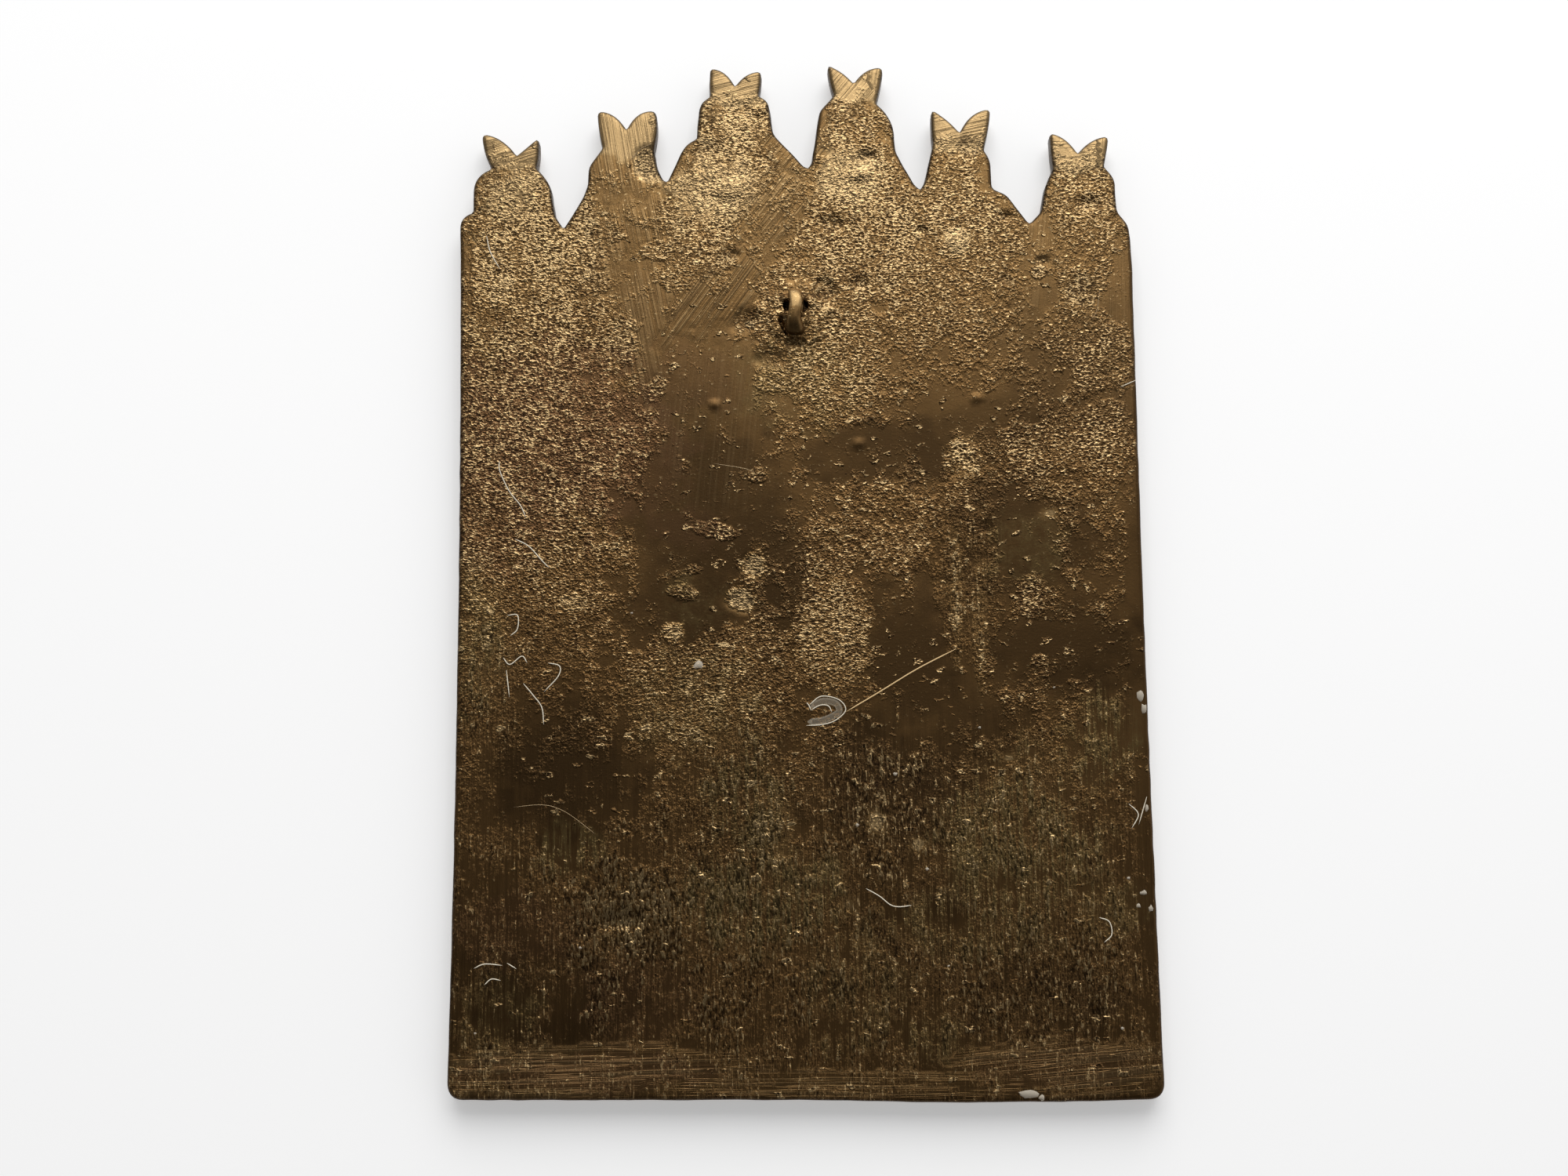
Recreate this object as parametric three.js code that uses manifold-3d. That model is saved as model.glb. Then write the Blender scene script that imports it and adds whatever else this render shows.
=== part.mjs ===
// A cast bronze travel icon that lies on its face. It is one casting: a rectangular plate, a row of
// six seraph finials along its top edge, the relief of its front, and a small lug on its back.
// Millimetres. +Z is up and is the way the back faces, +Y runs from the lower edge to the finials,
// and the front rim rests on z = 0. Everything is drawn from the middle of the lower edge, and the
// finished casting is moved so that the origin is under the middle of its outline.

import * as THREE from 'three';
import { mergeVertices } from 'three/addons/utils/BufferGeometryUtils.js';
import Module from 'manifold-3d';

const wasm = await Module();
wasm.setup();

// Depths of the casting, each measured up from the front rim
const backFace = 4.2;
const finialFront = 0.8;
const ropeGround = 0.9;
const panelGround = 2.0;
const edgeChamfer = 0.3;

// The front's frame: a flat rim, a rope moulding and a fillet round the sunk panel
const rimWidth = 3.0;
const ropeWidth = 4.6;
const filletWidth = 1.4;
const frameHalfWidth = 50;
const frameTop = 123;
const ropePitch = 4.5;
const ropeHeight = 0.6;

// The lug on the back, a small arch with its eye running from left to right
const lugAt = { x: -0.1, y: 113.8 };
const lugLength = 7.0;
const lugHeight = 3.0;
const lugWidth = 1.7;
const eyeLength = 2.6;
const eyeHeight = 1.5;

// How far a raised form is sunk into the ground that it is joined to
const root = 0.3;

// The plate's own corners. A corner is [x, y, rounding, bow]: the rounding is how far it is cut
// back along both sides, and the bow is how far the side after it swells outwards.
const lowerLeft = [[-50.1, 0.3, 2.6, -0.55]];
const upperLeft = [[-50.45, 129.5, 1.5, 0]];
const upperRight = [[49.55, 127.2, 0.9, 0], [49.9, 121, 3.0, -0.3]];
const lowerRight = [[50.5, -0.1, 2.2, 0], [38, -0.42, 3, 0], [18, -0.42, 3, 0], [2, 0.05, 3, 0]];

// The six seraphs from left to right, cut by hand, so that no two are alike. Each one's left side
// climbs from its foot to its neck, its ears are the tips of its two upper wings with the notch
// between them, and its right side falls from the neck to the valley before the next seraph.
const seraphs = [
  {
    left: [[-48.5, 130.3, 0.4, 0], [-48.6, 135.7, 2.2, 0], [-45.8, 137.2, 0.2, 0.3]],
    ears: [[-47.4, 142.7, 0.9, 0.6], [-42.1, 139.15, 0.2, 0], [-38.85, 141.95, 0.7, 0.15]],
    right: [[-39.1, 137.1, 0.2, 0.5], [-36.7, 132.2, 0.6, 0], [-36.2, 129.6, 0.6, 0],
      [-34.9, 127.6, 0.3, 0]],
  },
  {
    left: [[-32.1, 132.3, 0.4, 0], [-31.35, 134.4, 0.6, 0], [-31.2, 137.2, 0.7, 0],
      [-29.13, 140.2, 0.3, 0.15]],
    ears: [[-29.95, 146.1, 0.9, 0.6], [-25.5, 143.0, 0.25, 0.75], [-21.1, 146.1, 0.9, 0.25]],
    right: [[-21.45, 139.9, 0.4, 0], [-20.9, 137.1, 0.8, 0], [-19.95, 135.05, 0.3, 0],
      [-19.35, 134.75, 0.2, 0]],
  },
  {
    left: [[-17.1, 139.7, 0.8, 0.15], [-14.95, 141.5, 0.3, 0], [-14.6, 146.6, 0.9, 0.1],
      [-12.95, 148.2, 0.25, 0]],
    ears: [[-12.95, 152.75, 0.8, 0.55], [-9.15, 149.75, 0.3, 0.5], [-5.2, 152.1, 0.7, 0.1]],
    right: [[-5.6, 148.2, 0.2, 0], [-4.15, 147.3, 0.9, 0], [-3.4, 142.1, 0.8, 0],
      [1.0, 137.05, 0.4, 0], [1.75, 136.65, 0.2, 0]],
  },
  {
    left: [[2.35, 137.4, 0.4, 0], [3.6, 145.6, 0.8, 0], [5.85, 148.1, 0.3, 0.15]],
    ears: [[4.85, 153.0, 0.7, 0.28], [8.85, 149.95, 0.25, 0.6], [13.25, 152.5, 0.9, 0.15]],
    right: [[12.1, 146.75, 0.3, 0.65], [14.8, 140.9, 0.8, 0], [14.95, 139.0, 0.6, 0],
      [17.7, 133.8, 0.4, 0], [18.55, 133.0, 0.2, 0]],
  },
  {
    left: [[19.2, 134.0, 0.4, 0], [20.6, 140.2, 0.7, 0.12]],
    ears: [[20.45, 145.65, 0.8, 0.2], [24.65, 141.9, 0.2, 0.75], [29.35, 145.7, 0.9, 0.15]],
    right: [[28.2, 139.2, 0.3, 0.05], [29.15, 137.4, 0.8, 0], [29.25, 133.1, 0.7, 0],
      [31.4, 132.1, 0.8, 0], [34.4, 128.0, 0.2, 0], [34.9, 127.6, 0.2, 0]],
  },
  {
    left: [[36.55, 129.35, 0.5, 0], [37.2, 133.0, 0.6, 0], [38.45, 136.0, 0.3, 0]],
    ears: [[38.15, 141.75, 0.8, 0.5], [42.25, 138.35, 0.25, 0.5], [47.0, 141.15, 0.8, 0.1]],
    right: [[46.1, 136.4, 0.25, 0], [47.65, 134.5, 1.2, 0], [47.9, 129.2, 0.8, 0]],
  },
];

// The closed outline that joins all corners. A side is a quadratic curve whose middle stands off
// the straight line by its bow, and a rounding is a quadratic curve round its corner.
function outlinePoints(corners) {
  const sideStep = 2.2;
  const count = corners.length;
  const sides = corners.map(([x, y, round, bow], i) => {
    const [nextX, nextY, nextRound] = corners[(i + 1) % count];
    const start = new THREE.Vector2(x, y);
    const end = new THREE.Vector2(nextX, nextY);
    const along = end.clone().sub(start);
    const outward = new THREE.Vector2(-along.y, along.x).normalize();
    const pull = start.clone().lerp(end, 0.5).addScaledVector(outward, 2 * bow);
    const from = start.clone().addScaledVector(pull.clone().sub(start).normalize(), round);
    const to = end.clone().addScaledVector(pull.clone().sub(end).normalize(), nextRound);
    return { from, pull, to, end, nextRound, length: along.length(), bowed: bow !== 0 };
  });
  return sides.flatMap((side, i) => {
    const following = sides[(i + 1) % count];
    const sideSteps = side.bowed ? THREE.MathUtils.clamp(Math.ceil(side.length / sideStep), 2, 8) : 1;
    const cornerSteps = 1 + Math.ceil(2 * Math.min(side.nextRound, 2));
    const run = new THREE.QuadraticBezierCurve(side.from, side.pull, side.to);
    const turn = new THREE.QuadraticBezierCurve(side.to, side.end, following.from);
    return [...run.getPoints(sideSteps).slice(0, -1), ...turn.getPoints(cornerSteps).slice(0, -1)];
  });
}

// A closed mesh made ready for joining and cutting: shared corners merged, flat slivers dropped
function solidOf(geometry) {
  const bare = geometry.index ? geometry.toNonIndexed() : geometry.clone();
  bare.deleteAttribute('normal');
  bare.deleteAttribute('uv');
  const merged = mergeVertices(bare, 1e-5);
  const corners = merged.index.array;
  const triangles = [];
  for (let i = 0; i < corners.length; i += 3) {
    const [a, b, c] = [corners[i], corners[i + 1], corners[i + 2]];
    if (a !== b && b !== c && c !== a) {
      triangles.push(a, b, c);
    }
  }
  const vertProperties = new Float32Array(merged.attributes.position.array);
  const triVerts = new Uint32Array(triangles);
  return new wasm.Manifold(new wasm.Mesh({ numProp: 3, vertProperties, triVerts }));
}

function joined(solids) {
  return solids.reduce((whole, solid) => whole.add(solid));
}

function block(x0, x1, y0, y1, z0, z1) {
  const box = new THREE.BoxGeometry(x1 - x0, y1 - y0, z1 - z0);
  return solidOf(box.translate((x0 + x1) / 2, (y0 + y1) / 2, (z0 + z1) / 2));
}

function fanOf(size) {
  return Array.from({ length: size - 2 }, (_, i) => [0, i + 1, i + 2]);
}

// A skin over rings of equally many points, closed at each end by the given triangles. The rings
// may run either way round: the skin is turned inside out when it encloses a negative volume.
function loft(rings, cap = fanOf(rings[0].length)) {
  const size = rings[0].length;
  const points = rings.flat();
  const triangles = [];
  for (let ring = 0; ring < rings.length - 1; ring += 1) {
    for (let i = 0; i < size; i += 1) {
      const a = ring * size + i;
      const b = ring * size + (i + 1) % size;
      triangles.push([a, b, b + size], [a, b + size, a + size]);
    }
  }
  const end = (rings.length - 1) * size;
  for (const [a, b, c] of cap) {
    triangles.push([c, b, a], [end + a, end + b, end + c]);
  }
  const volume = triangles.reduce(
    (sum, [a, b, c]) => sum + points[a].dot(points[b].clone().cross(points[c])), 0);
  const order = volume > 0 ? triangles : triangles.map(([a, b, c]) => [a, c, b]);
  const geometry = new THREE.BufferGeometry().setFromPoints(order.flat().map((i) => points[i]));
  return solidOf(geometry);
}

// An upright prism over a closed outline, drawn in by an inset at each of its [z, inset] levels
function prism(points, levels) {
  const count = points.length;
  const inward = points.map((_, i) => {
    const along = points[(i + 1) % count].clone().sub(points[(i + count - 1) % count]).normalize();
    return new THREE.Vector2(-along.y, along.x);
  });
  const rings = levels.map(([z, inset]) => points.map((point, i) => {
    const moved = point.clone().addScaledVector(inward[i], inset);
    return new THREE.Vector3(moved.x, moved.y, z);
  }));
  return loft(rings, THREE.ShapeUtils.triangulateShape(points, []));
}

// A raised strand: a ridge with a half-elliptical section that follows a path over its ground and
// thins towards both ends, down to the given share of its width and height.
function strand(path, halfWidth, height, ground, { facets = 2, ends = 0.35 } = {}) {
  const last = path.length - 1;
  const rings = path.map((point, i) => {
    const along = path[Math.min(i + 1, last)].clone().sub(path[Math.max(i - 1, 0)]).normalize();
    const swell = ends + (1 - ends) * Math.sin(Math.PI * i / last) ** 0.7;
    const place = (across, z) => new THREE.Vector3(
      point.x - along.y * across, point.y + along.x * across, z);
    const ring = [];
    for (let i = 0; i <= facets; i += 1) {
      const angle = Math.PI * i / facets;
      ring.push(place(Math.cos(angle) * halfWidth * swell, ground - Math.sin(angle) * height * swell));
    }
    ring.push(place(-halfWidth * swell, ground + root), place(halfWidth * swell, ground + root));
    return ring;
  });
  return loft(rings);
}

// A low dome on an elliptical foot, turned by an angle about its middle
function dome(x, y, radiusX, radiusY, height, ground, { around = 10, levels = 2, turn = 0 } = {}) {
  const profile = [new THREE.Vector2(0, -root), new THREE.Vector2(1, -root)];
  for (let level = 0; level <= levels; level += 1) {
    const angle = Math.PI / 2 * level / levels;
    profile.push(new THREE.Vector2(level === levels ? 0 : Math.cos(angle), Math.sin(angle) * height));
  }
  const geometry = new THREE.LatheGeometry(profile, around);
  geometry.rotateX(-Math.PI / 2).scale(radiusX, radiusY, 1);
  return solidOf(geometry.rotateZ(turn).translate(x, y, ground));
}

// A raised ring, such as a halo's rim
function hoop(x, y, radius, halfWidth, height, ground, around) {
  const profile = [[-1, -root], [1, -root], [1, 0], [0, height], [-1, 0]].map(
    ([side, level]) => new THREE.Vector2(radius + side * halfWidth, level));
  const geometry = new THREE.LatheGeometry([...profile, profile[0]], around);
  return solidOf(geometry.rotateX(-Math.PI / 2).translate(x, y, ground));
}

// Cloth that hangs in folds. Each row is [y, left, right, height]. Across a row the cloth swells in
// a half ellipse, and the folds are a cosine wave on that swell.
function drapery(rows, place, folds, depth, heightScale, ground) {
  const acrossSteps = 3 * folds;
  return loft(rows.map(([y, left, right, height]) => {
    const ring = [];
    for (let i = 0; i <= acrossSteps; i += 1) {
      const across = i / acrossSteps;
      const crown = Math.sqrt(Math.max(0, 1 - (2 * across - 1) ** 2));
      const wave = 1 - depth * 0.5 * (1 + Math.cos(2 * Math.PI * folds * across));
      const foot = place(left + (right - left) * across, y);
      const rise = height * heightScale * (0.25 + 0.75 * crown) * wave;
      ring.push(new THREE.Vector3(foot.x, foot.y, ground - rise));
    }
    const rightFoot = place(right, y);
    const leftFoot = place(left, y);
    ring.push(new THREE.Vector3(rightFoot.x, rightFoot.y, ground + root));
    ring.push(new THREE.Vector3(leftFoot.x, leftFoot.y, ground + root));
    return ring;
  }));
}

// The corners run clockwise as the back is seen, and the outline's points the other way
const outline = outlinePoints([
  ...lowerLeft,
  ...upperLeft,
  ...seraphs.flatMap(({ left, ears, right }) => [...left, ...ears, ...right]),
  ...upperRight,
  ...lowerRight,
]).reverse();

// The blank: the whole outline at full thickness, chamfered, with the finials' front cut back and
// the rope's groove and the panel sunk into the body's front.
function plateBlank() {
  const below = -1;
  const blank = prism(outline, [
    [0, edgeChamfer],
    [edgeChamfer, 0],
    [backFace - edgeChamfer, 0],
    [backFace, edgeChamfer],
  ]);
  const sunk = (inset, depth) => block(
    inset - frameHalfWidth, frameHalfWidth - inset, inset, frameTop - inset, below, depth);
  const groove = sunk(rimWidth, ropeGround).subtract(sunk(rimWidth + ropeWidth, backFace));
  const finialCut = block(-2 * frameHalfWidth, 2 * frameHalfWidth, frameTop, 2 * frameTop, below, finialFront);
  return blank
    .subtract(finialCut)
    .subtract(groove)
    .subtract(sunk(rimWidth + ropeWidth + filletWidth, panelGround));
}

// The rope moulding: slanted strands laid side by side along the groove on all four sides
function ropeMoulding() {
  const inset = rimWidth + ropeWidth / 2;
  const halfX = frameHalfWidth - inset;
  const runs = [
    [new THREE.Vector2(-halfX, inset), new THREE.Vector2(halfX, inset)],
    [new THREE.Vector2(halfX, inset), new THREE.Vector2(halfX, frameTop - inset)],
    [new THREE.Vector2(halfX, frameTop - inset), new THREE.Vector2(-halfX, frameTop - inset)],
    [new THREE.Vector2(-halfX, frameTop - inset), new THREE.Vector2(-halfX, inset)],
  ];
  const reach = 0.42 * ropeWidth;
  return joined(runs.flatMap(([from, to]) => {
    const count = Math.round(from.distanceTo(to) / ropePitch);
    const along = to.clone().sub(from).normalize();
    const slant = new THREE.Vector2(-along.y, along.x).addScaledVector(along, 0.7).multiplyScalar(reach);
    return Array.from({ length: count }, (_, i) => {
      const middle = from.clone().lerp(to, i / count);
      const path = [middle.clone().sub(slant), middle, middle.clone().add(slant)];
      return strand(path, 0.36 * ropePitch, ropeHeight, ropeGround);
    });
  }));
}

// The arch over the figures: two slim columns with bases and capitals, and a moulded round arch
function arcade() {
  const columnX = 33;
  const baseTop = 17.5;
  const springing = 70;
  const columnHeight = 1.2;
  const vector = (x, y) => new THREE.Vector2(x, y);
  const solids = [];
  for (const side of [-1, 1]) {
    const x = side * columnX;
    solids.push(strand([vector(x, baseTop - 1), vector(x, springing + 1)], 1.5, columnHeight,
      panelGround, { facets: 4, ends: 1 }));
    solids.push(block(x - 2.6, x + 2.6, 13.5, baseTop, panelGround - 1.5, panelGround + root));
    solids.push(block(x - 2.6, x + 2.6, springing, springing + 3, panelGround - 1.5, panelGround + root));
  }
  for (const [radius, halfWidth, height] of [[columnX, 1.4, 1.3], [columnX - 3, 0.6, 0.7]]) {
    const arch = new THREE.EllipseCurve(0, springing + 3, radius, radius, 0, Math.PI);
    solids.push(strand(arch.getPoints(22), halfWidth, height, panelGround, { ends: 1 }));
  }
  return joined(solids);
}

// A standing saint of no name in a long robe and mantle, holding a closed book. The sizes are those
// of a figure 78 high that stands at its own origin.
function saint(x, y, scale, heightScale, withFace) {
  const folds = withFace ? 5 : 3;
  const haloFacets = withFace ? 24 : 14;
  const knobFacets = withFace ? 10 : 6;
  const place = (px, py) => new THREE.Vector2(x + px * scale, y + py * scale);
  const ground = panelGround;
  const bend = (points, halfWidth, height, options) => strand(
    points.map(([px, py]) => place(px, py)), halfWidth * scale, height * heightScale, ground, options);
  const knob = (px, py, radiusX, radiusY, height, options) => {
    const middle = place(px, py);
    return dome(middle.x, middle.y, radiusX * scale, radiusY * scale, height * heightScale, ground, options);
  };
  const robe = [[0, -10.5, 10.5, 0.8], [8, -10.8, 10.8, 1.0], [24, -9.8, 9.8, 1.05], [40, -8.8, 8.8, 1.15],
    [51, -9.6, 9.6, 1.2], [58, -10.2, 10.2, 1.1], [62, -8.2, 8.2, 0.9], [65, -4.2, 4.2, 0.7]];
  const head = place(0, 73);
  const solids = [
    drapery(robe, place, folds, 0.45, heightScale, ground),
    hoop(head.x, head.y, 10.2 * scale, 0.8 * scale, 0.7 * heightScale, ground, haloFacets),
    knob(0, 73.8, 5.4, 6.2, 1.1, { around: knobFacets + 2 }),
    knob(0, 72.6, 4.3, 5.7, 1.45, { around: knobFacets + 2, levels: 3 }),
    knob(0, 67.6, 3.0, 3.4, 1.4, { around: knobFacets }),
  ];
  for (const side of [-1, 1]) {
    solids.push(bend([[side * 7, 62], [side * 12.4, 52], [side * 13.6, 34], [side * 12.6, 16], [side * 13.4, 1]],
      3.0, 1.25, { facets: 3, ends: 0.5 }));
    solids.push(bend([[side * 9.2, 58], [side * 9.8, 49], [side * 7.2, 44.5], [side * 3.4, 48]],
      2.3, 1.6, { facets: 3, ends: 0.6 }));
    solids.push(knob(side * 3.0, 49, 1.8, 2.3, 1.7, { around: knobFacets }));
    solids.push(knob(side * 3.6, -1, 1.9, 2.6, 0.9, { around: knobFacets }));
  }
  const bookLow = place(-4.6, 49.5);
  const bookHigh = place(4.6, 59);
  const cover = ground - 1.45 * heightScale;
  solids.push(block(bookLow.x, bookHigh.x, bookLow.y, bookHigh.y, cover, ground + root));
  if (withFace) {
    const skin = ground - 1.3 * heightScale;
    solids.push(strand([place(0, 75.2), place(0, 73.4), place(0, 71)], 0.6, 0.45, skin));
    for (const side of [-1, 1]) {
      solids.push(strand([place(side * 0.6, 75.2), place(side * 1.9, 75.6), place(side * 3.2, 74.8)],
        0.35, 0.35, skin));
      solids.push(dome(head.x + side * 1.8, head.y + 0.7, 0.9, 0.5, 0.3, skin, { around: 6 }));
    }
    solids.push(strand([place(-1.3, 69.4), place(0, 69.6), place(1.3, 69.4)], 0.35, 0.3, skin));
  }
  return joined(solids);
}

// A six-winged seraph on a finial: a round face in a halo, two upper wings that cross over it into
// the ears, two wings down its sides and two that cross below it.
function seraphRelief({ left, ears, right }) {
  const ground = finialFront;
  const vector = ([x, y]) => new THREE.Vector2(x, y);
  const [leftTip, notch, rightTip] = ears.map(vector);
  const leftNeck = vector(left[left.length - 1]);
  const rightNeck = vector(right[0]);
  const leftFlank = vector(left[0]);
  const rightFlank = vector(right[right.length - 1]);
  const neck = leftNeck.clone().lerp(rightNeck, 0.5);
  const reach = Math.min(leftNeck.distanceTo(rightNeck) / 2, 4);
  const face = neck.clone().add(new THREE.Vector2(0, -4.0));
  const foot = new THREE.Vector2(face.x, frameTop + 1.6);
  const solids = [
    hoop(face.x, face.y, 3.1, 0.45, 0.35, ground, 12),
    dome(face.x, face.y, 2.0, 2.4, 0.6, ground, { around: 8 }),
  ];
  for (const [side, tip, flank] of [[-1, leftTip, leftFlank], [1, rightTip, rightFlank]]) {
    const inTip = tip.clone().lerp(notch, 0.3).lerp(neck, 0.12);
    const start = new THREE.Vector2(neck.x - side * 0.25 * reach, neck.y - 0.6);
    const middle = start.clone().lerp(inTip, 0.5).add(new THREE.Vector2(side * 0.35, 0));
    solids.push(strand([start, middle, inTip], 1.5, 0.5, ground));
    const shoulder = new THREE.Vector2(face.x + side * (reach + 0.3), face.y + 1.2);
    const hem = new THREE.Vector2(THREE.MathUtils.lerp(face.x, flank.x, 0.72), foot.y + 0.6);
    const hip = shoulder.clone().lerp(hem, 0.6).add(new THREE.Vector2(side * 0.3, 0));
    solids.push(strand([shoulder, hip, hem], 1.5, 0.5, ground));
    const crossing = new THREE.Vector2(face.x + side * 0.3, (face.y - 3.4 + foot.y) / 2);
    solids.push(strand([new THREE.Vector2(face.x + side * 1.9, face.y - 3.2), crossing,
      new THREE.Vector2(face.x - side * 1.9, foot.y)], 1.2, 0.45, ground));
  }
  return joined(solids);
}

// The lug: an arch drawn from the side, with its eye, and carried across its width
function lug() {
  const half = lugLength / 2;
  const arch = new THREE.Shape();
  arch.moveTo(-half, -root);
  arch.lineTo(-half, 0.15 * lugHeight);
  arch.bezierCurveTo(-half, 0.6 * lugHeight, -0.75 * half, lugHeight, -0.35 * half, lugHeight);
  arch.lineTo(0.3 * half, 0.97 * lugHeight);
  arch.bezierCurveTo(0.75 * half, 0.95 * lugHeight, half, 0.6 * lugHeight, half, 0.2 * lugHeight);
  arch.lineTo(half, -root);
  const eye = new THREE.Path();
  eye.absellipse(0, 0.45 * lugHeight, eyeLength / 2, eyeHeight / 2, 0, 2 * Math.PI);
  arch.holes.push(eye);
  const geometry = new THREE.ExtrudeGeometry(arch, { depth: lugWidth, bevelEnabled: false, curveSegments: 8 });
  geometry.translate(0, 0, -lugWidth / 2);
  const sideToBack = new THREE.Matrix4().makeBasis(
    new THREE.Vector3(0, 1, 0), new THREE.Vector3(0, 0, 1), new THREE.Vector3(1, 0, 0));
  geometry.applyMatrix4(sideToBack);
  return solidOf(geometry.translate(lugAt.x, lugAt.y, backFace));
}

const figures = [
  saint(0, 17, 1, 1, true),
  saint(-22.5, 17, 0.52, 0.75, false),
  saint(22.5, 17, 0.52, 0.75, false),
];

const casting = joined([
  plateBlank(),
  ropeMoulding(),
  arcade(),
  ...figures,
  ...seraphs.map(seraphRelief),
  lug(),
]);

const bronze = new THREE.MeshStandardMaterial({ color: 0x75562a, roughness: 0.48, metalness: 0.9 });

const castMesh = casting.getMesh();
const castGeometry = new THREE.BufferGeometry();
castGeometry.setAttribute('position', new THREE.BufferAttribute(castMesh.vertProperties, 3));
castGeometry.setIndex(new THREE.BufferAttribute(castMesh.triVerts, 1));
castGeometry.computeVertexNormals();

const plaque = new THREE.Mesh(castGeometry, bronze);
plaque.name = 'icon_plaque';

const footprint = new THREE.Box2().setFromPoints(outline);
const middle = footprint.getCenter(new THREE.Vector2());
plaque.position.set(-middle.x, -middle.y, 0);

const travelIcon = new THREE.Group();
travelIcon.add(plaque);

export default travelIcon;
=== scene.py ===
import math

import bpy
import numpy as np
from mathutils.geometry import delaunay_2d_cdt
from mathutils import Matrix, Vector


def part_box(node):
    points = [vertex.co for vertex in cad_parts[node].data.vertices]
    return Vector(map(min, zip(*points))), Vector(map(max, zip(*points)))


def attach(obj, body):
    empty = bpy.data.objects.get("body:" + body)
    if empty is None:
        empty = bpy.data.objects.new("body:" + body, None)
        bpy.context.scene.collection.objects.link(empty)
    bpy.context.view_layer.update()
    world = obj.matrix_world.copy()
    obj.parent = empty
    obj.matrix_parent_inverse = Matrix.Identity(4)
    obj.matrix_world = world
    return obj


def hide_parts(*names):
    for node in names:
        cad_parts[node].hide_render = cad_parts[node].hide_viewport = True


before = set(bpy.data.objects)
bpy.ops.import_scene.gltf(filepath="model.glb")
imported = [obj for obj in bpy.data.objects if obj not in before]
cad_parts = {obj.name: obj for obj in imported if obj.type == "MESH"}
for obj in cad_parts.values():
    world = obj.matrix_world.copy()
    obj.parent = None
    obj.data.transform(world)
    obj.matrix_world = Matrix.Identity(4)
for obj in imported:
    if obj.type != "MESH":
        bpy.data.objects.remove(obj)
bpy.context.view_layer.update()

# The view. The icon lies on its face, and its back is seen nearly straight down, from above the
# lower edge. The camera stands 316 mm up, and its places are in metres.
view = bpy.data.cameras.new("view")
view.lens = 50
view.sensor_width = 36
view.clip_start = 0.01
camera = bpy.data.objects.new("view", view)
camera.location = (0.001924, -0.055531, 0.316331)
camera.rotation_euler = (0.16513104, 0.01457516, -0.00692771)
bpy.context.collection.objects.link(camera)
bpy.context.scene.camera = camera

# The plate. One sand casting of bronze, 100 mm wide, whose top edge rises into six seraph finials.
# Its edges were filed by hand, so that no side is quite straight and no two finials are alike.
# Millimetres from the middle of the lower edge. A corner is x, y, rounding, bow: the rounding is
# how far it is cut back, and the bow is how far the side after it swells outwards.
BACK = 4.2
FINIAL_FRONT = 0.8
FRAME_HALF = 50.0
FRAME_TOP = 123.0
outline_pace = 0.42
edge_reach = 0.6
edge_drop = 0.45
lower_left = [(-50.1, 0.3, 2.6, -0.55)]
upper_left = [(-50.45, 129.5, 1.5, 0)]
upper_right = [(49.55, 127.2, 0.9, 0), (49.9, 121, 3.0, -0.3)]
lower_right = [(50.5, -0.1, 2.2, 0), (38, -0.42, 3, 0), (18, -0.42, 3, 0), (2, 0.05, 3, 0)]
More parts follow.
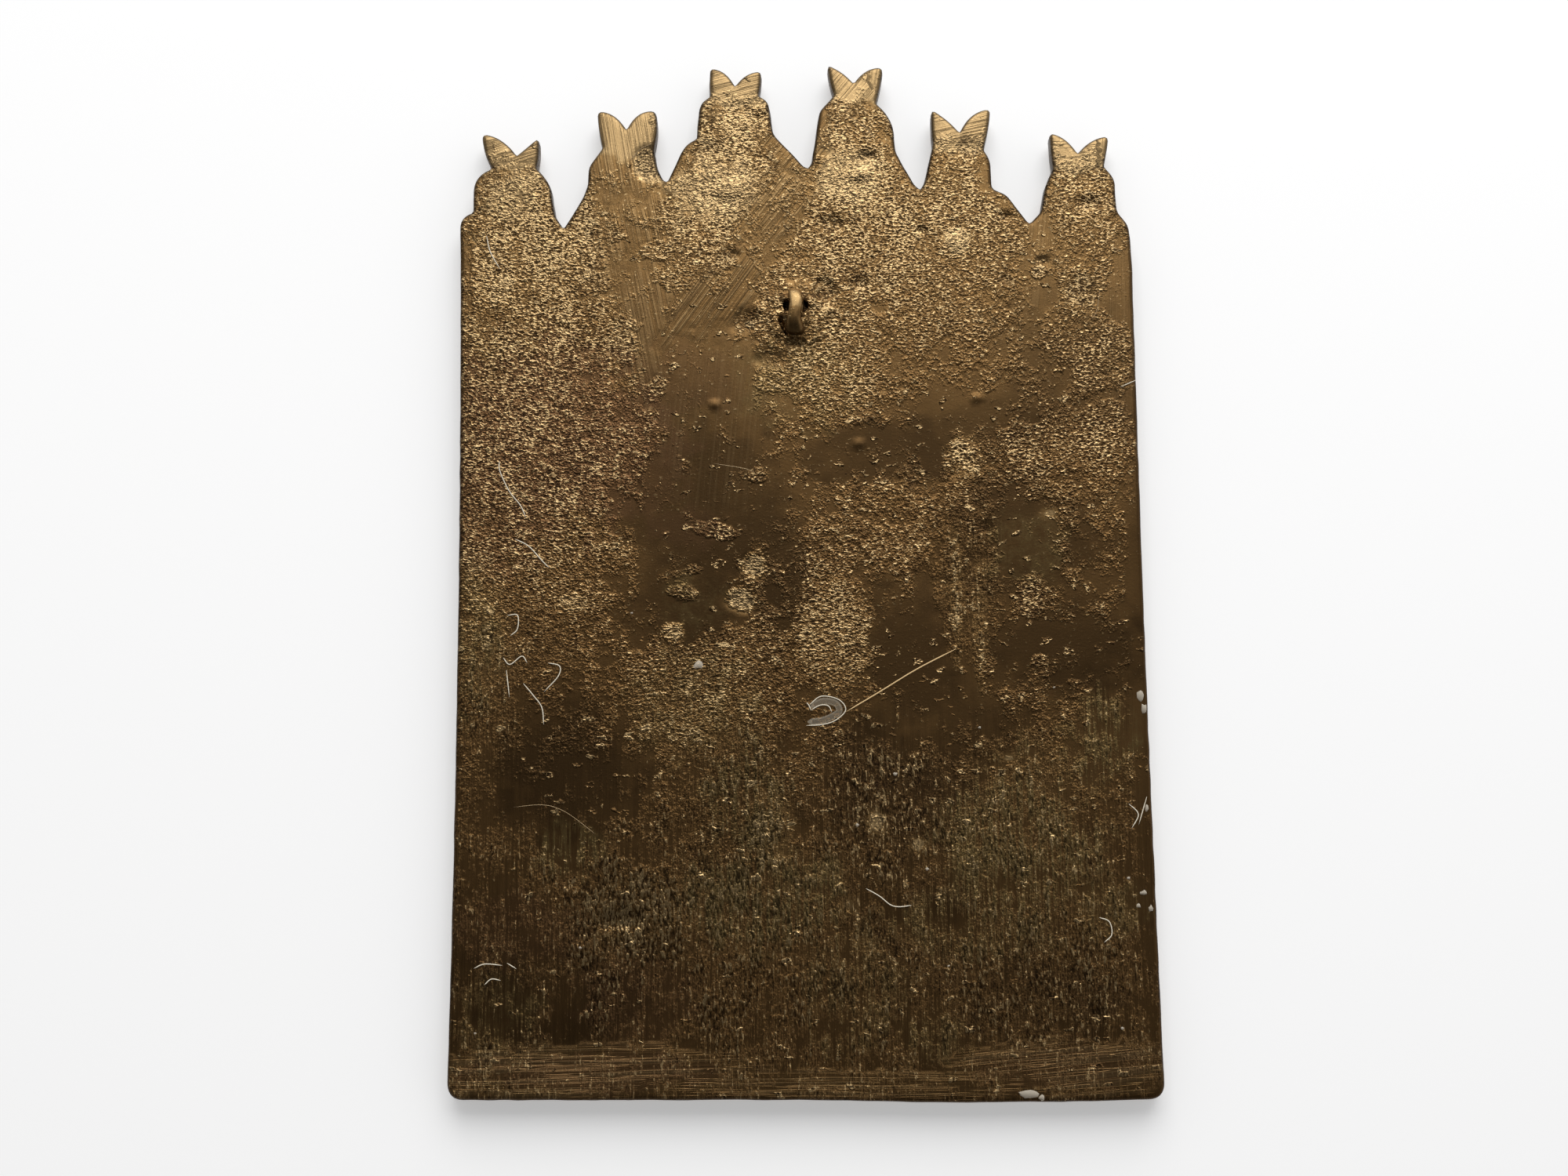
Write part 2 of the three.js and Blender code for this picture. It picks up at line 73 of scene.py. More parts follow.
# Each seraph's left side climbs from its foot to its neck, its ears are the tips of its two upper
# wings with the notch between them, and its right side falls to the valley before the next one.
seraphs = [
    {
        "left": [(-48.5, 130.3, 0.4, 0), (-48.6, 135.7, 2.2, 0), (-45.8, 137.2, 0.2, 0.3)],
        "ears": [(-47.4, 142.7, 0.9, 0.6), (-42.1, 139.15, 0.2, 0), (-38.85, 141.95, 0.7, 0.15)],
        "right": [(-39.1, 137.1, 0.2, 0.5), (-36.7, 132.2, 0.6, 0), (-36.2, 129.6, 0.6, 0),
                  (-34.9, 127.6, 0.3, 0)],
    },
    {
        "left": [(-32.1, 132.3, 0.4, 0), (-31.35, 134.4, 0.6, 0), (-31.2, 137.2, 0.7, 0),
                 (-29.13, 140.2, 0.3, 0.15)],
        "ears": [(-29.95, 146.1, 0.9, 0.6), (-25.5, 143.0, 0.25, 0.75), (-21.1, 146.1, 0.9, 0.25)],
        "right": [(-21.45, 139.9, 0.4, 0), (-20.9, 137.1, 0.8, 0), (-19.95, 135.05, 0.3, 0),
                  (-19.35, 134.75, 0.2, 0)],
    },
    {
        "left": [(-17.1, 139.7, 0.8, 0.15), (-14.95, 141.5, 0.3, 0), (-14.6, 146.6, 0.9, 0.1),
                 (-12.95, 148.2, 0.25, 0)],
        "ears": [(-12.95, 152.75, 0.8, 0.55), (-9.15, 149.75, 0.3, 0.5), (-5.2, 152.1, 0.7, 0.1)],
        "right": [(-5.6, 148.2, 0.2, 0), (-4.15, 147.3, 0.9, 0), (-3.4, 142.1, 0.8, 0),
                  (1.0, 137.05, 0.4, 0), (1.75, 136.65, 0.2, 0)],
    },
    {
        "left": [(2.35, 137.4, 0.4, 0), (3.6, 145.6, 0.8, 0), (5.85, 148.1, 0.3, 0.15)],
        "ears": [(4.85, 153.0, 0.7, 0.28), (8.85, 149.95, 0.25, 0.6), (13.25, 152.5, 0.9, 0.15)],
        "right": [(12.1, 146.75, 0.3, 0.65), (14.8, 140.9, 0.8, 0), (14.95, 139.0, 0.6, 0),
                  (17.7, 133.8, 0.4, 0), (18.55, 133.0, 0.2, 0)],
    },
    {
        "left": [(19.2, 134.0, 0.4, 0), (20.6, 140.2, 0.7, 0.12)],
        "ears": [(20.45, 145.65, 0.8, 0.2), (24.65, 141.9, 0.2, 0.75), (29.35, 145.7, 0.9, 0.15)],
        "right": [(28.2, 139.2, 0.3, 0.05), (29.15, 137.4, 0.8, 0), (29.25, 133.1, 0.7, 0),
                  (31.4, 132.1, 0.8, 0), (34.4, 128.0, 0.2, 0), (34.9, 127.6, 0.2, 0)],
    },
    {
        "left": [(36.55, 129.35, 0.5, 0), (37.2, 133.0, 0.6, 0), (38.45, 136.0, 0.3, 0)],
        "ears": [(38.15, 141.75, 0.8, 0.5), (42.25, 138.35, 0.25, 0.5), (47.0, 141.15, 0.8, 0.1)],
        "right": [(46.1, 136.4, 0.25, 0), (47.65, 134.5, 1.2, 0), (47.9, 129.2, 0.8, 0)],
    },
]
corners = lower_left + upper_left
for seraph in seraphs:
    corners = corners + seraph["left"] + seraph["ears"] + seraph["right"]
corners = corners + upper_right + lower_right


def filed_outline(corners, pace):
    """Closed run of points, counter-clockwise. A side is a quadratic curve from corner to corner
    whose middle stands off by its bow, a corner is a quadratic curve between the ends of its two
    sides, and the whole run is then walked at an even pace."""
    x, y, rounding, bow = np.array(corners, float).T
    start = np.stack([x, y], axis=1)
    end = np.roll(start, -1, axis=0)
    along = end - start
    outward = np.stack([-along[:, 1], along[:, 0]], axis=1)
    outward /= np.linalg.norm(outward, axis=1, keepdims=True)
    pull = (start + end) / 2 + 2 * bow[:, None] * outward
    leave = pull - start
    leave = start + leave / np.linalg.norm(leave, axis=1, keepdims=True) * rounding[:, None]
    reach = pull - end
    reach = end + reach / np.linalg.norm(reach, axis=1, keepdims=True) * np.roll(rounding, -1)[:, None]
    t = np.linspace(0, 1, 40, endpoint=False)[None, :, None]

    def quadratic(a, b, c):
        return (1 - t) ** 2 * a[:, None] + 2 * t * (1 - t) * b[:, None] + t ** 2 * c[:, None]

    side = quadratic(leave, pull, reach)
    turn = quadratic(reach, end, np.roll(leave, -1, axis=0))
    dense = np.concatenate([side, turn], axis=1).reshape(-1, 2)[::-1]
    closed = np.vstack([dense, dense[:1]])
    walked = np.concatenate([[0], np.cumsum(np.linalg.norm(np.diff(closed, axis=0), axis=1))])
    count = int(round(walked[-1] / pace))
    stops = np.linspace(0, walked[-1], count, endpoint=False)
    return np.stack([np.interp(stops, walked, closed[:, 0]), np.interp(stops, walked, closed[:, 1])], 1)


def cloud(x, y, pitch, seed):
    """Smooth random field from -1 to 1: random heights on a square grid of the given pitch,
    blended between grid points with smoothstep weights."""
    heights = np.random.default_rng(seed).uniform(-1, 1, (128, 128))
    u, v = np.asarray(x) / pitch + 57.3, np.asarray(y) / pitch + 31.7
    column, row = np.floor(u).astype(int), np.floor(v).astype(int)
    u, v = u - column, v - row
    u, v = u * u * (3 - 2 * u), v * v * (3 - 2 * v)
    low = heights[row % 128, column % 128] * (1 - u) + heights[row % 128, (column + 1) % 128] * u
    high = (heights[(row + 1) % 128, column % 128] * (1 - u)
            + heights[(row + 1) % 128, (column + 1) % 128] * u)
    return low * (1 - v) + high * v


def depth_inside(points, ring):
    """Distance of each point from the closed run of points, negative outside it. The distance is
    the least one to any of its sides, and a point is inside if a ray from it crosses an odd
    number of sides. Points well inside the rectangle of the plate are given a flat 9."""
    depth = np.full(len(points), 9.0)
    near = np.flatnonzero((np.abs(points[:, 0]) > 46) | (points[:, 1] < 4) | (points[:, 1] > 123))
    a, b = ring, np.roll(ring, -1, axis=0)
    side = b - a
    reach = (side ** 2).sum(axis=1)
    rise = np.where(np.abs(side[:, 1]) < 1e-9, 1e-9, side[:, 1])
    for some in np.array_split(near, max(1, len(near) // 1500)):
        offset = points[some, None, :] - a
        t = np.clip((offset * side).sum(axis=2) / reach, 0, 1)
        apart = offset - t[..., None] * side
        least = np.sqrt((apart ** 2).sum(axis=2).min(axis=1))
        y = points[some, None, 1]
        crosses = ((a[:, 1] > y) != (b[:, 1] > y)) & (offset[..., 0] < offset[..., 1] / rise * side[:, 0])
        depth[some] = np.where(crosses.sum(axis=1) % 2 == 1, least, -least)
    return depth


def frame_inset(x, y):
    """Distance inside the rectangle of the front's frame, negative outside it."""
    return np.minimum(FRAME_HALF - np.abs(x), np.minimum(y, FRAME_TOP - y))


def face_of_plate(ring, pitch, finer=(), steps=()):
    """Flat triangles that fill the outline. Their corners are the outline's own points, three
    runs of points just inside it, and a staggered grid. finer holds boxes x0, y0, x1, y1, pitch
    where a finer grid takes over, and steps the insets of the frame at which the face has a
    step, each of which gets a run of points on both its sides. The outline's points come first."""
    along = np.roll(ring, -1, axis=0) - np.roll(ring, 1, axis=0)
    inward = np.stack([-along[:, 1], along[:, 0]], axis=1) / np.linalg.norm(along, axis=1)[:, None]
    shells = [(inset, ring + inset * inward) for inset in (0.14, 0.34, 0.62)]
    inner = [shell[depth_inside(shell, ring) > 0.9 * inset] for inset, shell in shells]

    def grid(x0, y0, x1, y1, pitch):
        rows = np.arange(y0, y1, pitch * math.sqrt(0.75))
        columns = np.arange(x0, x1, pitch)
        x, y = np.meshgrid(columns, rows)
        x = x + pitch / 2 * (np.arange(len(rows)) % 2)[:, None]
        return np.stack([x.ravel(), y.ravel()], axis=1)

    base = grid(-52, -2, 52, 155, pitch)
    for x0, y0, x1, y1, small in finer:
        within = (base[:, 0] > x0) & (base[:, 0] < x1) & (base[:, 1] > y0) & (base[:, 1] < y1)
        base = np.vstack([base[~within], grid(x0 + small / 2, y0 + small / 2, x1, y1, small)])
    runs = []
    for step in steps:
        base = base[np.abs(frame_inset(base[:, 0], base[:, 1]) - step) > 0.38]
        for inset in (step - 0.1, step + 0.1):
            x0, x1, y0, y1 = inset - FRAME_HALF, FRAME_HALF - inset, inset, FRAME_TOP - inset
            x, y = np.arange(x0, x1, 0.6), np.arange(y0, y1, 0.6)
            runs += [np.stack([x, x * 0 + y0], 1), np.stack([x, x * 0 + y1], 1),
                     np.stack([y * 0 + x0, y], 1), np.stack([y * 0 + x1, y], 1)]
    base = np.unique(np.round(np.vstack([base, *runs]), 4), axis=0)
    base = base[depth_inside(base, ring) > 0.85]
    points = np.vstack([ring, *inner, base])
    sides = np.arange(len(ring))
    sides = np.stack([sides, np.roll(sides, -1)], axis=1)
    filled = delaunay_2d_cdt(points.tolist(), sides.tolist(), [], 1, 1e-7)
    order = np.array(filled[3])[:, 0]
    return points, order[np.array(filled[2])]


def edge_fall(depth):
    """How far a face has dropped at this distance inside its edge, down a quarter of an ellipse."""
    across = np.clip(1 - depth / edge_reach, 0, 1)
    return edge_drop * (1 - np.sqrt(1 - across ** 2))


outline = filed_outline(corners, outline_pace)
outline += 0.05 * np.stack([cloud(*outline.T, 2.3, 1), cloud(*outline.T, 2.3, 2)], axis=1)

# The back. It is the open side of the casting and keeps the grain of the moulding sand, except
# where it was dressed with a file and a scraper. Handling has rubbed the high grain to gold and
# left brown patina between, and the gold on the grain is also in part painted highlight. Each mark
# here is an ellipse x, y, half width, half height, turn, strength that was read off.
skin_spots = [
    (-38, 122, 17, 22, 0, 0.9), (-41, 92, 16, 24, 0, 0.8), (-38, 72, 13, 9, 0, 0.5),
    (-8, 133, 14, 17, 0, 0.95), (10, 130, 13, 18, 0, 0.95), (25, 130, 10, 15, 0, 0.85),
    (42, 131, 9, 14, 0, 0.85), (5, 107, 10, 11, 0, 0.65), (23, 117, 12, 9, 0, 0.55),
    (38, 113, 12, 7, 0, 0.25), (40, 93, 11, 6, 0, 0.5), (25, 80, 4, 15, 0, 0.6), (2, 71, 7, 11, 0, 0.75),
    (14, 82, 12, 9, 0, 0.28), (-14, 57, 11, 8, 0, 0.7), (-8, 38, 8, 15, 0, 0.6), (10, 42, 12, 13, 0, 0.4),
    (32, 40, 10, 10, 0, 0.42), (-25, 25, 9, 8, 0, 0.8), (-46, 62, 5, 14, 0, 0.55),
    (-2, 18, 16, 11, 0, 0.4), (30, 18, 15, 10, 0, 0.4), (-10, 28, 15, 8, 0, 0.45),
]
dressed_spots = [
    (-25.5, 132, 5.0, 5.5, 0, 0.9), (-24.5, 120, 5.0, 12, 6, 0.9), (-21, 108, 4.2, 9, 10, 0.85),
    (-5, 127, 4.0, 13, -34, 1), (-12.5, 115, 4.4, 12, -36, 1), (-43.5, 141, 7, 3.6, 0, 1),
    (-48.3, 134, 1.6, 5, 0, 0.9), (-27.5, 142, 6.0, 6.5, 0, 0.9), (-9, 151, 6, 3.4, 0, 1),
    (-17.4, 137.5, 1.4, 4.5, -25, 0.9), (-1.6, 138.8, 1.6, 4.8, 50, 1), (9, 150.5, 6, 3.8, 0, 1),
    (3.3, 141, 1.5, 6, -8, 1), (15.4, 137.5, 1.2, 6, 28, 0.9), (24.8, 144.5, 7, 3.8, 0, 1),
    (29.5, 134, 1.8, 6, 30, 0.8), (22, 137, 3.2, 3, 0, 0.5), (42.5, 140.6, 6, 3.0, 0, 1),
    (36.8, 124, 2.4, 10, -6, 0.9), (48.4, 112, 1.8, 20, 0, 0.8), (28, 120, 5, 6, 0, 0.4),
    (42, 123, 5, 3, 10, 0.5), (35, 112, 4, 6, 0, 0.3), (-49.2, 122, 0.9, 9, 0, 0.8),
    (-14, 104, 9, 6, 0, 0.6), (-12, 97, 10, 6, 0, 0.4), (-15, 84, 11, 13, 0, 0.5), (-17, 72, 9, 7, 0, 0.6),
    (-3, 82, 5, 9, 0, 0.5), (-2.5, 70, 3, 6, 0, 0.6), (10, 93, 14, 4, 4, 0.6), (26, 98.5, 10, 3, 6, 0.5),
    (32, 78, 6, 6, 0, 0.5), (16, 64, 5, 8, 0, 0.6), (18, 55, 10, 6, 10, 0.6), (38, 64, 11, 4, 0, 0.5),
    (48.9, 75, 1.2, 70, 0, 0.8), (-33, 42, 9, 6, 0, 0.4), (-36, 12, 9, 6, 0, 0.3),
]
rough_spots = [
    (5, 66, 5.5, 8, 0, 0.9), (-15.5, 55.5, 8, 6.5, 0, 0.75), (-7, 62, 7, 4.5, 0, 0.7),
    (-24, 27, 9, 6, 12, 1), (-29, 14, 2, 6, 0, 0.7), (-46, 66, 4, 10, 0, 0.6),
    (-33, 71, 2.4, 1.3, 0, 0.9), (-6.8, 76.2, 1.7, 1.9, -30, 1), (-8.4, 71, 2.1, 2, 0, 1),
    (-18.5, 66.4, 1.7, 1.3, 0, 1), (-17, 72, 2, 1.2, 0, 0.8), (-12.5, 81.5, 3, 1.4, -12, 0.9),
    (-15.2, 75.5, 1.2, 0.8, 0, 0.8), (-6, 89.5, 1.6, 1.2, 0, 0.9), (24.3, 92, 2.6, 3.2, 0, 0.9),
    (33.8, 71, 2.2, 3.2, 0, 0.9), (34.5, 92, 7, 5, 0, 0.8), (44.5, 95, 4, 6, 0, 0.9),
    (22.7, 72, 0.9, 9, 0, 0.8), (26, 66, 1.0, 9, 0, 0.7), (28.5, 72, 0.6, 9, 0, 0.5),
    (17, 80, 6, 7, 0, 0.6), (5, 80, 5, 4, 0, 0.6), (34.3, 61.5, 1.2, 1, 0, 0.8),
    (39.6, 58.5, 0.9, 0.7, 0, 0.8), (33, 16.5, 1.5, 2, 0, 0.8), (25.5, 12.5, 1.4, 1.2, 0, 0.8),
    (41.5, 12, 1.5, 1.5, 0, 0.7), (22.5, 15, 1.4, 0.9, 0, 0.8), (-20, 39.5, 1.4, 2.2, 0, 0.8),
    (-26.5, 38, 1.6, 1.6, 0, 0.6), (-35.8, 32, 1.5, 1.3, 0, 0.7), (-29, 50.5, 2.2, 1.5, 0, 0.6),
    (-39, 8, 3.5, 3, 0, 0.5), (24, 125, 1.5, 2, 0, 1), (32.5, 126, 2.2, 3, 0, 0.8),
    (42.5, 117, 2.6, 2.8, 0, 0.9), (36, 120, 1.2, 1.2, 0, 1), (-27, 126.3, 1.5, 1, 0, 1),
    (-20.5, 124, 2.6, 1.6, 0, 0.9), (-18.8, 119.3, 1.6, 1.6, 0, 0.8), (-28.8, 119, 1.1, 1.2, 0, 1),
    (-10.2, 122.2, 1.6, 1.4, 0, 1), (-6.3, 124, 1.5, 0.8, 20, 0.8), (-26, 110.5, 2.6, 3.6, 0, 0.9),
    (-21, 102.5, 2.2, 1.6, 25, 0.9), (-21.5, 128.6, 1, 0.5, 0, 0.8), (25.4, 139.8, 1.5, 1.6, 0, 0.9),
    (24, 137, 3, 1, 0, 0.7), (42.5, 134.7, 2.4, 1.2, 0, 0.8), (39, 132, 1.6, 1, 0, 0.8),
    (44, 128, 2.4, 1.6, 0, 0.9), (-21.8, 137.3, 2.4, 2.4, 0, 1), (44, 107, 5, 7, 0, 0.7),
]
gold_spots = [
    (-32, 3.5, 22, 4, 0, 0.45), (34, 3.5, 16, 4, 0, 0.2), (0, 2, 40, 2, 0, 0.2),
    (-43, 141, 7, 4, 0, 0.9), (-26, 144, 7, 5, 0, 0.9), (-9, 151, 7, 4, 0, 1), (9, 151, 7, 4, 0, 1),
    (25, 144, 7, 5, 0, 0.9), (42.5, 140, 7, 4, 0, 0.8),
    (-42, 132, 5, 5, 0, 0.3), (-40, 122, 9, 7, 0, 0.25), (-12, 133, 7, 6, 0, 0.35),
    (-9, 144, 5, 4, 0, 0.2), (8, 135, 5, 5, 0, 0.35), (24, 125, 2, 2.5, 0, 0.6), (2, 105, 10, 7, 0, 0.3),
    (-21.8, 137.3, 2.4, 2.6, 0, 0.8), (-6.8, 76.2, 1.7, 1.9, -30, 0.8), (-8.4, 71, 2.1, 2, 0, 0.9),
    (-18.5, 66.4, 1.7, 1.3, 0, 0.7), (-33, 71, 2.4, 1.3, 0, 0.7), (5, 65, 5, 7, 0, 0.35),
    (-15.5, 55, 8, 6, 0, 0.35), (-24, 26, 9, 5, 12, 0.3), (24.3, 92, 2.6, 3.2, 0, 0.4),
    (-46, 66, 4, 9, 0, 0.35), (-4, 38, 2.6, 5, 0, 0.6), (34, 46, 6, 5, 0, 0.15), (43, 26, 5, 3, 0, 0.2),
    (22.7, 72, 0.9, 9, 0, 0.5), (26, 66, 1, 9, 0, 0.4), (42.5, 117, 2.6, 2.8, 0, 0.3),
    (10.7, 38.5, 1.4, 2, 0, 0.9), (16.5, 35.5, 1.2, 1.3, 0, 1), (6.5, 27, 1.6, 1.4, 0, 0.7),
    (8.7, 21.5, 2, 1, 0, 0.5), (29.8, 47.7, 1.2, 0.5, 0, 0.9), (36.5, 83.3, 1.4, 0.7, 0, 0.8),
    (22.5, 36.5, 1.4, 0.5, -35, 0.9), (-20.5, 137.5, 2, 2, 0, 0.4),
]
olive_spots = [
    (-6, 28, 12, 7, 0, 1), (-8, 42, 6, 9, 0, 0.8), (31, 36, 11, 11, 0, 0.9), (43, 50, 5, 7, 0, 0.8),
    (-33, 35, 4, 4, 0, 0.9), (-44, 12, 6, 5, 0, 0.5), (24, 24, 12, 5, 0, 0.7), (7, 15, 7, 9, 0, 0.5),
    (-15, 56, 9, 7, 0, 0.5), (33, 78, 5, 5, 0, 0.5), (44, 26, 5, 4, 0, 0.6), (19, 8, 4, 4, 0, 0.6),
    (0, 104, 9, 7, 0, 0.5), (-47, 66, 4, 10, 0, 0.7), (-15, 71, 5, 4, 0, 0.5),
]
red_spots = [
    (-36, 96, 17, 14, 0, 1), (-44, 85, 8, 10, 0, 0.7), (-25, 92, 9, 9, 0, 0.6),
    (-30, 4, 18, 2.6, 0, 0.9), (36, 4, 12, 2.6, 0, 0.5), (-24, 14, 8, 7, 0, 0.4), (-16, 104, 7, 5, 0, 0.4),
    (-40, 24, 9, 5, 0, 0.5), (-16, 82, 6, 3, 0, 0.5),
]
streak_spots = [
    (12, 40, 12, 14, 0, 1), (31, 38, 12, 14, 0, 0.8), (-10, 42, 12, 12, 0, 0.7),
    (-45, 56, 5, 12, 0, 0.7), (44, 50, 5, 9, 0, 0.8), (24, 72, 5, 14, 0, 0.6), (-5, 18, 18, 12, 0, 0.5),
    (30, 18, 14, 12, 0, 0.4), (-15, 57, 10, 6, 0, 0.3), (-40, 62, 8, 8, 0, 0.4),
]
dark_spots = [
    (-13, 86, 12, 14, 0, 1), (-20, 98, 6, 8, 0, 0.6), (-3, 74, 5, 10, 0, 1), (14, 93, 15, 5, 5, 1),
    (30, 97, 12, 4, 8, 0.8), (32, 80, 12, 10, 0, 0.9), (16, 62, 7, 11, 0, 1), (38, 64, 12, 7, 0, 1),
    (12, 44, 11, 12, 0, 0.9), (-33, 45, 10, 9, 0, 0.9), (-36, 14, 12, 8, 0, 0.8), (41, 106, 10, 12, 0, 0.8),
    (26, 52, 9, 5, 0, 0.8), (14, 28, 10, 5, 0, 0.6), (34, 14, 12, 7, 0, 0.6), (-17, 70, 8, 6, 0, 0.7),
]
# Where nicks and specks of bare metal are many
nick_spots = [
    (-12, 92, 16, 20, 0, 0.8), (12, 84, 17, 16, 0, 1), (14, 62, 18, 16, 0, 0.75), (38, 74, 12, 16, 0, 0.6),
    (-26, 44, 14, 16, 0, 0.5), (30, 40, 18, 16, 0, 0.5), (-2, 36, 12, 14, 0, 0.7), (24, 118, 14, 12, 0, 0.5),
    (40, 128, 10, 10, 0, 0.5), (-16, 122, 12, 12, 0, 0.45), (0, 12, 46, 12, 0, 0.35), (6, 106, 9, 9, 0, 0.5),
]
# File cuts: an ellipse, the direction that the cuts run in, in degrees from level, and their depth
cut_spots = [
    (-25, 126, 7.5, 14, 0, 101, 0.7), (-21, 110, 6.5, 13, 10, 101, 0.6),
    (-4, 130, 4.2, 12, -34, 52, 0.8), (-12.5, 116, 4.6, 11, -36, 54, 1),
    (-48, 134, 2, 5, 0, 60, 0.5), (-42.5, 136, 5, 3, 0, 84, 0.6), (-43, 140.5, 7, 2.9, 0, 18, 1),
    (-26.5, 140.5, 7, 8.5, 0, 99, 0.8), (-9, 150.5, 7, 3.6, 0, 14, 1), (-14, 146.5, 2, 3, 0, 14, 0.6),
    (-17.2, 137.5, 1.8, 4.5, -25, 75, 0.5), (-1.6, 138.8, 1.9, 4.8, 50, 50, 0.8),
    (8, 150, 6, 5, 0, 50, 0.8), (13, 151.5, 1.8, 3, 0, 80, 0.6), (3.4, 141, 1.7, 6, -8, 50, 0.7),
    (24.8, 144.5, 7, 4.6, 0, 12, 1), (42.5, 139.5, 7, 3.8, 0, 4, 0.7), (46.3, 138.5, 1, 3, 0, 86, 0.8),
    (36.8, 124, 3, 9, -6, 84, 0.3), (48, 110, 3, 20, 0, 88, 0.2), (-12, 96, 9, 14, 0, 84, 0.2),
    (-30, 3.6, 26, 4.2, 0, 1, 0.8), (36, 4, 17, 4.2, 0, 5, 0.7), (5, 1.6, 26, 2.6, 0, 0, 0.6),
]
# Casting pits and tool dents: x, y, half width, half height, turn, depth in mm
pit_spots = [
    (18.6, 126.5, 0.8, 0.5, 0, 0.45), (18.2, 124.8, 0.5, 0.4, 0, 0.25), (31.2, 128.6, 0.9, 0.5, -30, 0.35),
    (10.4, 138.2, 1.6, 0.6, 8, 0.3), (-9.7, 123.3, 1.0, 0.7, 0, 0.3), (36.6, 121.6, 0.9, 0.5, 0, 0.25),
    (-13.5, 139.5, 2.2, 1.2, 20, 0.2), (43.5, 130.5, 1.8, 1.1, 0, 0.25), (5.2, 127.8, 1.5, 1.1, 0, 0.25),
    (-21.5, 137.6, 2.6, 2.6, 0, 0.3), (25.8, 139.5, 1.7, 1.9, 0, 0.2), (4.2, 117.6, 1.5, 1.6, 0, 0.3),
    (9, 118.5, 1.6, 1.2, 0, 0.2), (-7.5, 113, 2.2, 1.8, 30, 0.2), (-1.9, 112, 0.6, 1.6, 20, 0.5),
    (-4, 107, 2, 1.2, 0, 0.15), (31, 118.8, 0.8, 0.8, 0, 0.2), (42.5, 117, 2.4, 2.4, 0, 0.12),
    (-6.8, 76.2, 1.6, 1.8, -30, 0.15), (-8.4, 71, 2, 1.9, 0, 0.15), (-24.5, 25, 2, 1.4, 0, 0.2),
    (-27.5, 25, 1.5, 1.1, 0, 0.2), (27, 81.3, 0.8, 0.6, -30, 0.2), (44, 118, 0.4, 2.6, -18, 0.15),
    (-0.4, 109.5, 1.6, 0.6, 0, 0.3),
]
# The mouths of the lug's eye, sunk in its collar
eye_spots = [(-1.55, 115.0, 0.5, 0.75, 8, 1.2), (1.0, 114.9, 0.5, 0.8, -5, 1.2)]
# Lumps of the casting: the collar that the lug rises from, and beads of metal round it
lump_spots = [
    (-0.3, 113.8, 4.2, 5.0, 0, 0.3), (-0.35, 113.7, 1.9, 3.7, 0, 1.0), (2.1, 115.6, 0.6, 0.8, 0, 0.5),
    (-1.8, 113.2, 0.5, 0.8, 10, 1.2), (-2.6, 114.1, 0.7, 0.4, 10, 0.35),
    (-2.5, 115.6, 0.4, 0.8, 0, 0.3), (4.9, 114.4, 0.9, 0.6, 0, 0.3), (-6.2, 114.6, 1.5, 0.7, 10, 0.2),
    (0.8, 113.8, 0.35, 0.4, 0, 0.4), (-2.2, 111.6, 0.35, 0.9, 20, 0.4), (9.8, 135.4, 1.8, 0.8, 5, 0.25),
    (-9.5, 133.5, 2.5, 1.4, 10, 0.2), (23.5, 124.5, 1.4, 1.0, 0, 0.15), (-5.5, 145.8, 1.2, 0.8, 0, 0.2),
    (26.3, 100.7, 0.9, 0.4, 12, 0.2), (-12.5, 100.2, 0.7, 0.5, 0, 0.2), (8.8, 94, 1, 0.4, 0, 0.15),
]


def patches(x, y, spots, ragged=0.3, seed=3, fade=0.5):
    """Strongest of the elliptical spots at each point. A spot holds its strength up to half the
    fade inside its edge and comes to nothing half the fade outside, and noise frays its edge."""
    fray = ragged * (0.6 * cloud(x, y, 1.9, seed) + 0.4 * cloud(x, y, 0.9, seed + 1))
    level = np.zeros_like(x)
    for spot_x, spot_y, radius_x, radius_y, turn, strength in spots:
        cosine, sine = math.cos(math.radians(turn)), math.sin(math.radians(turn))
        across = ((x - spot_x) * cosine + (y - spot_y) * sine) / radius_x
        along = ((y - spot_y) * cosine - (x - spot_x) * sine) / radius_y
        reach = np.clip((1 - np.hypot(across, along) - fray) / fade + 0.5, 0, 1)
        level = np.maximum(level, strength * reach * reach * (3 - 2 * reach))
    return level


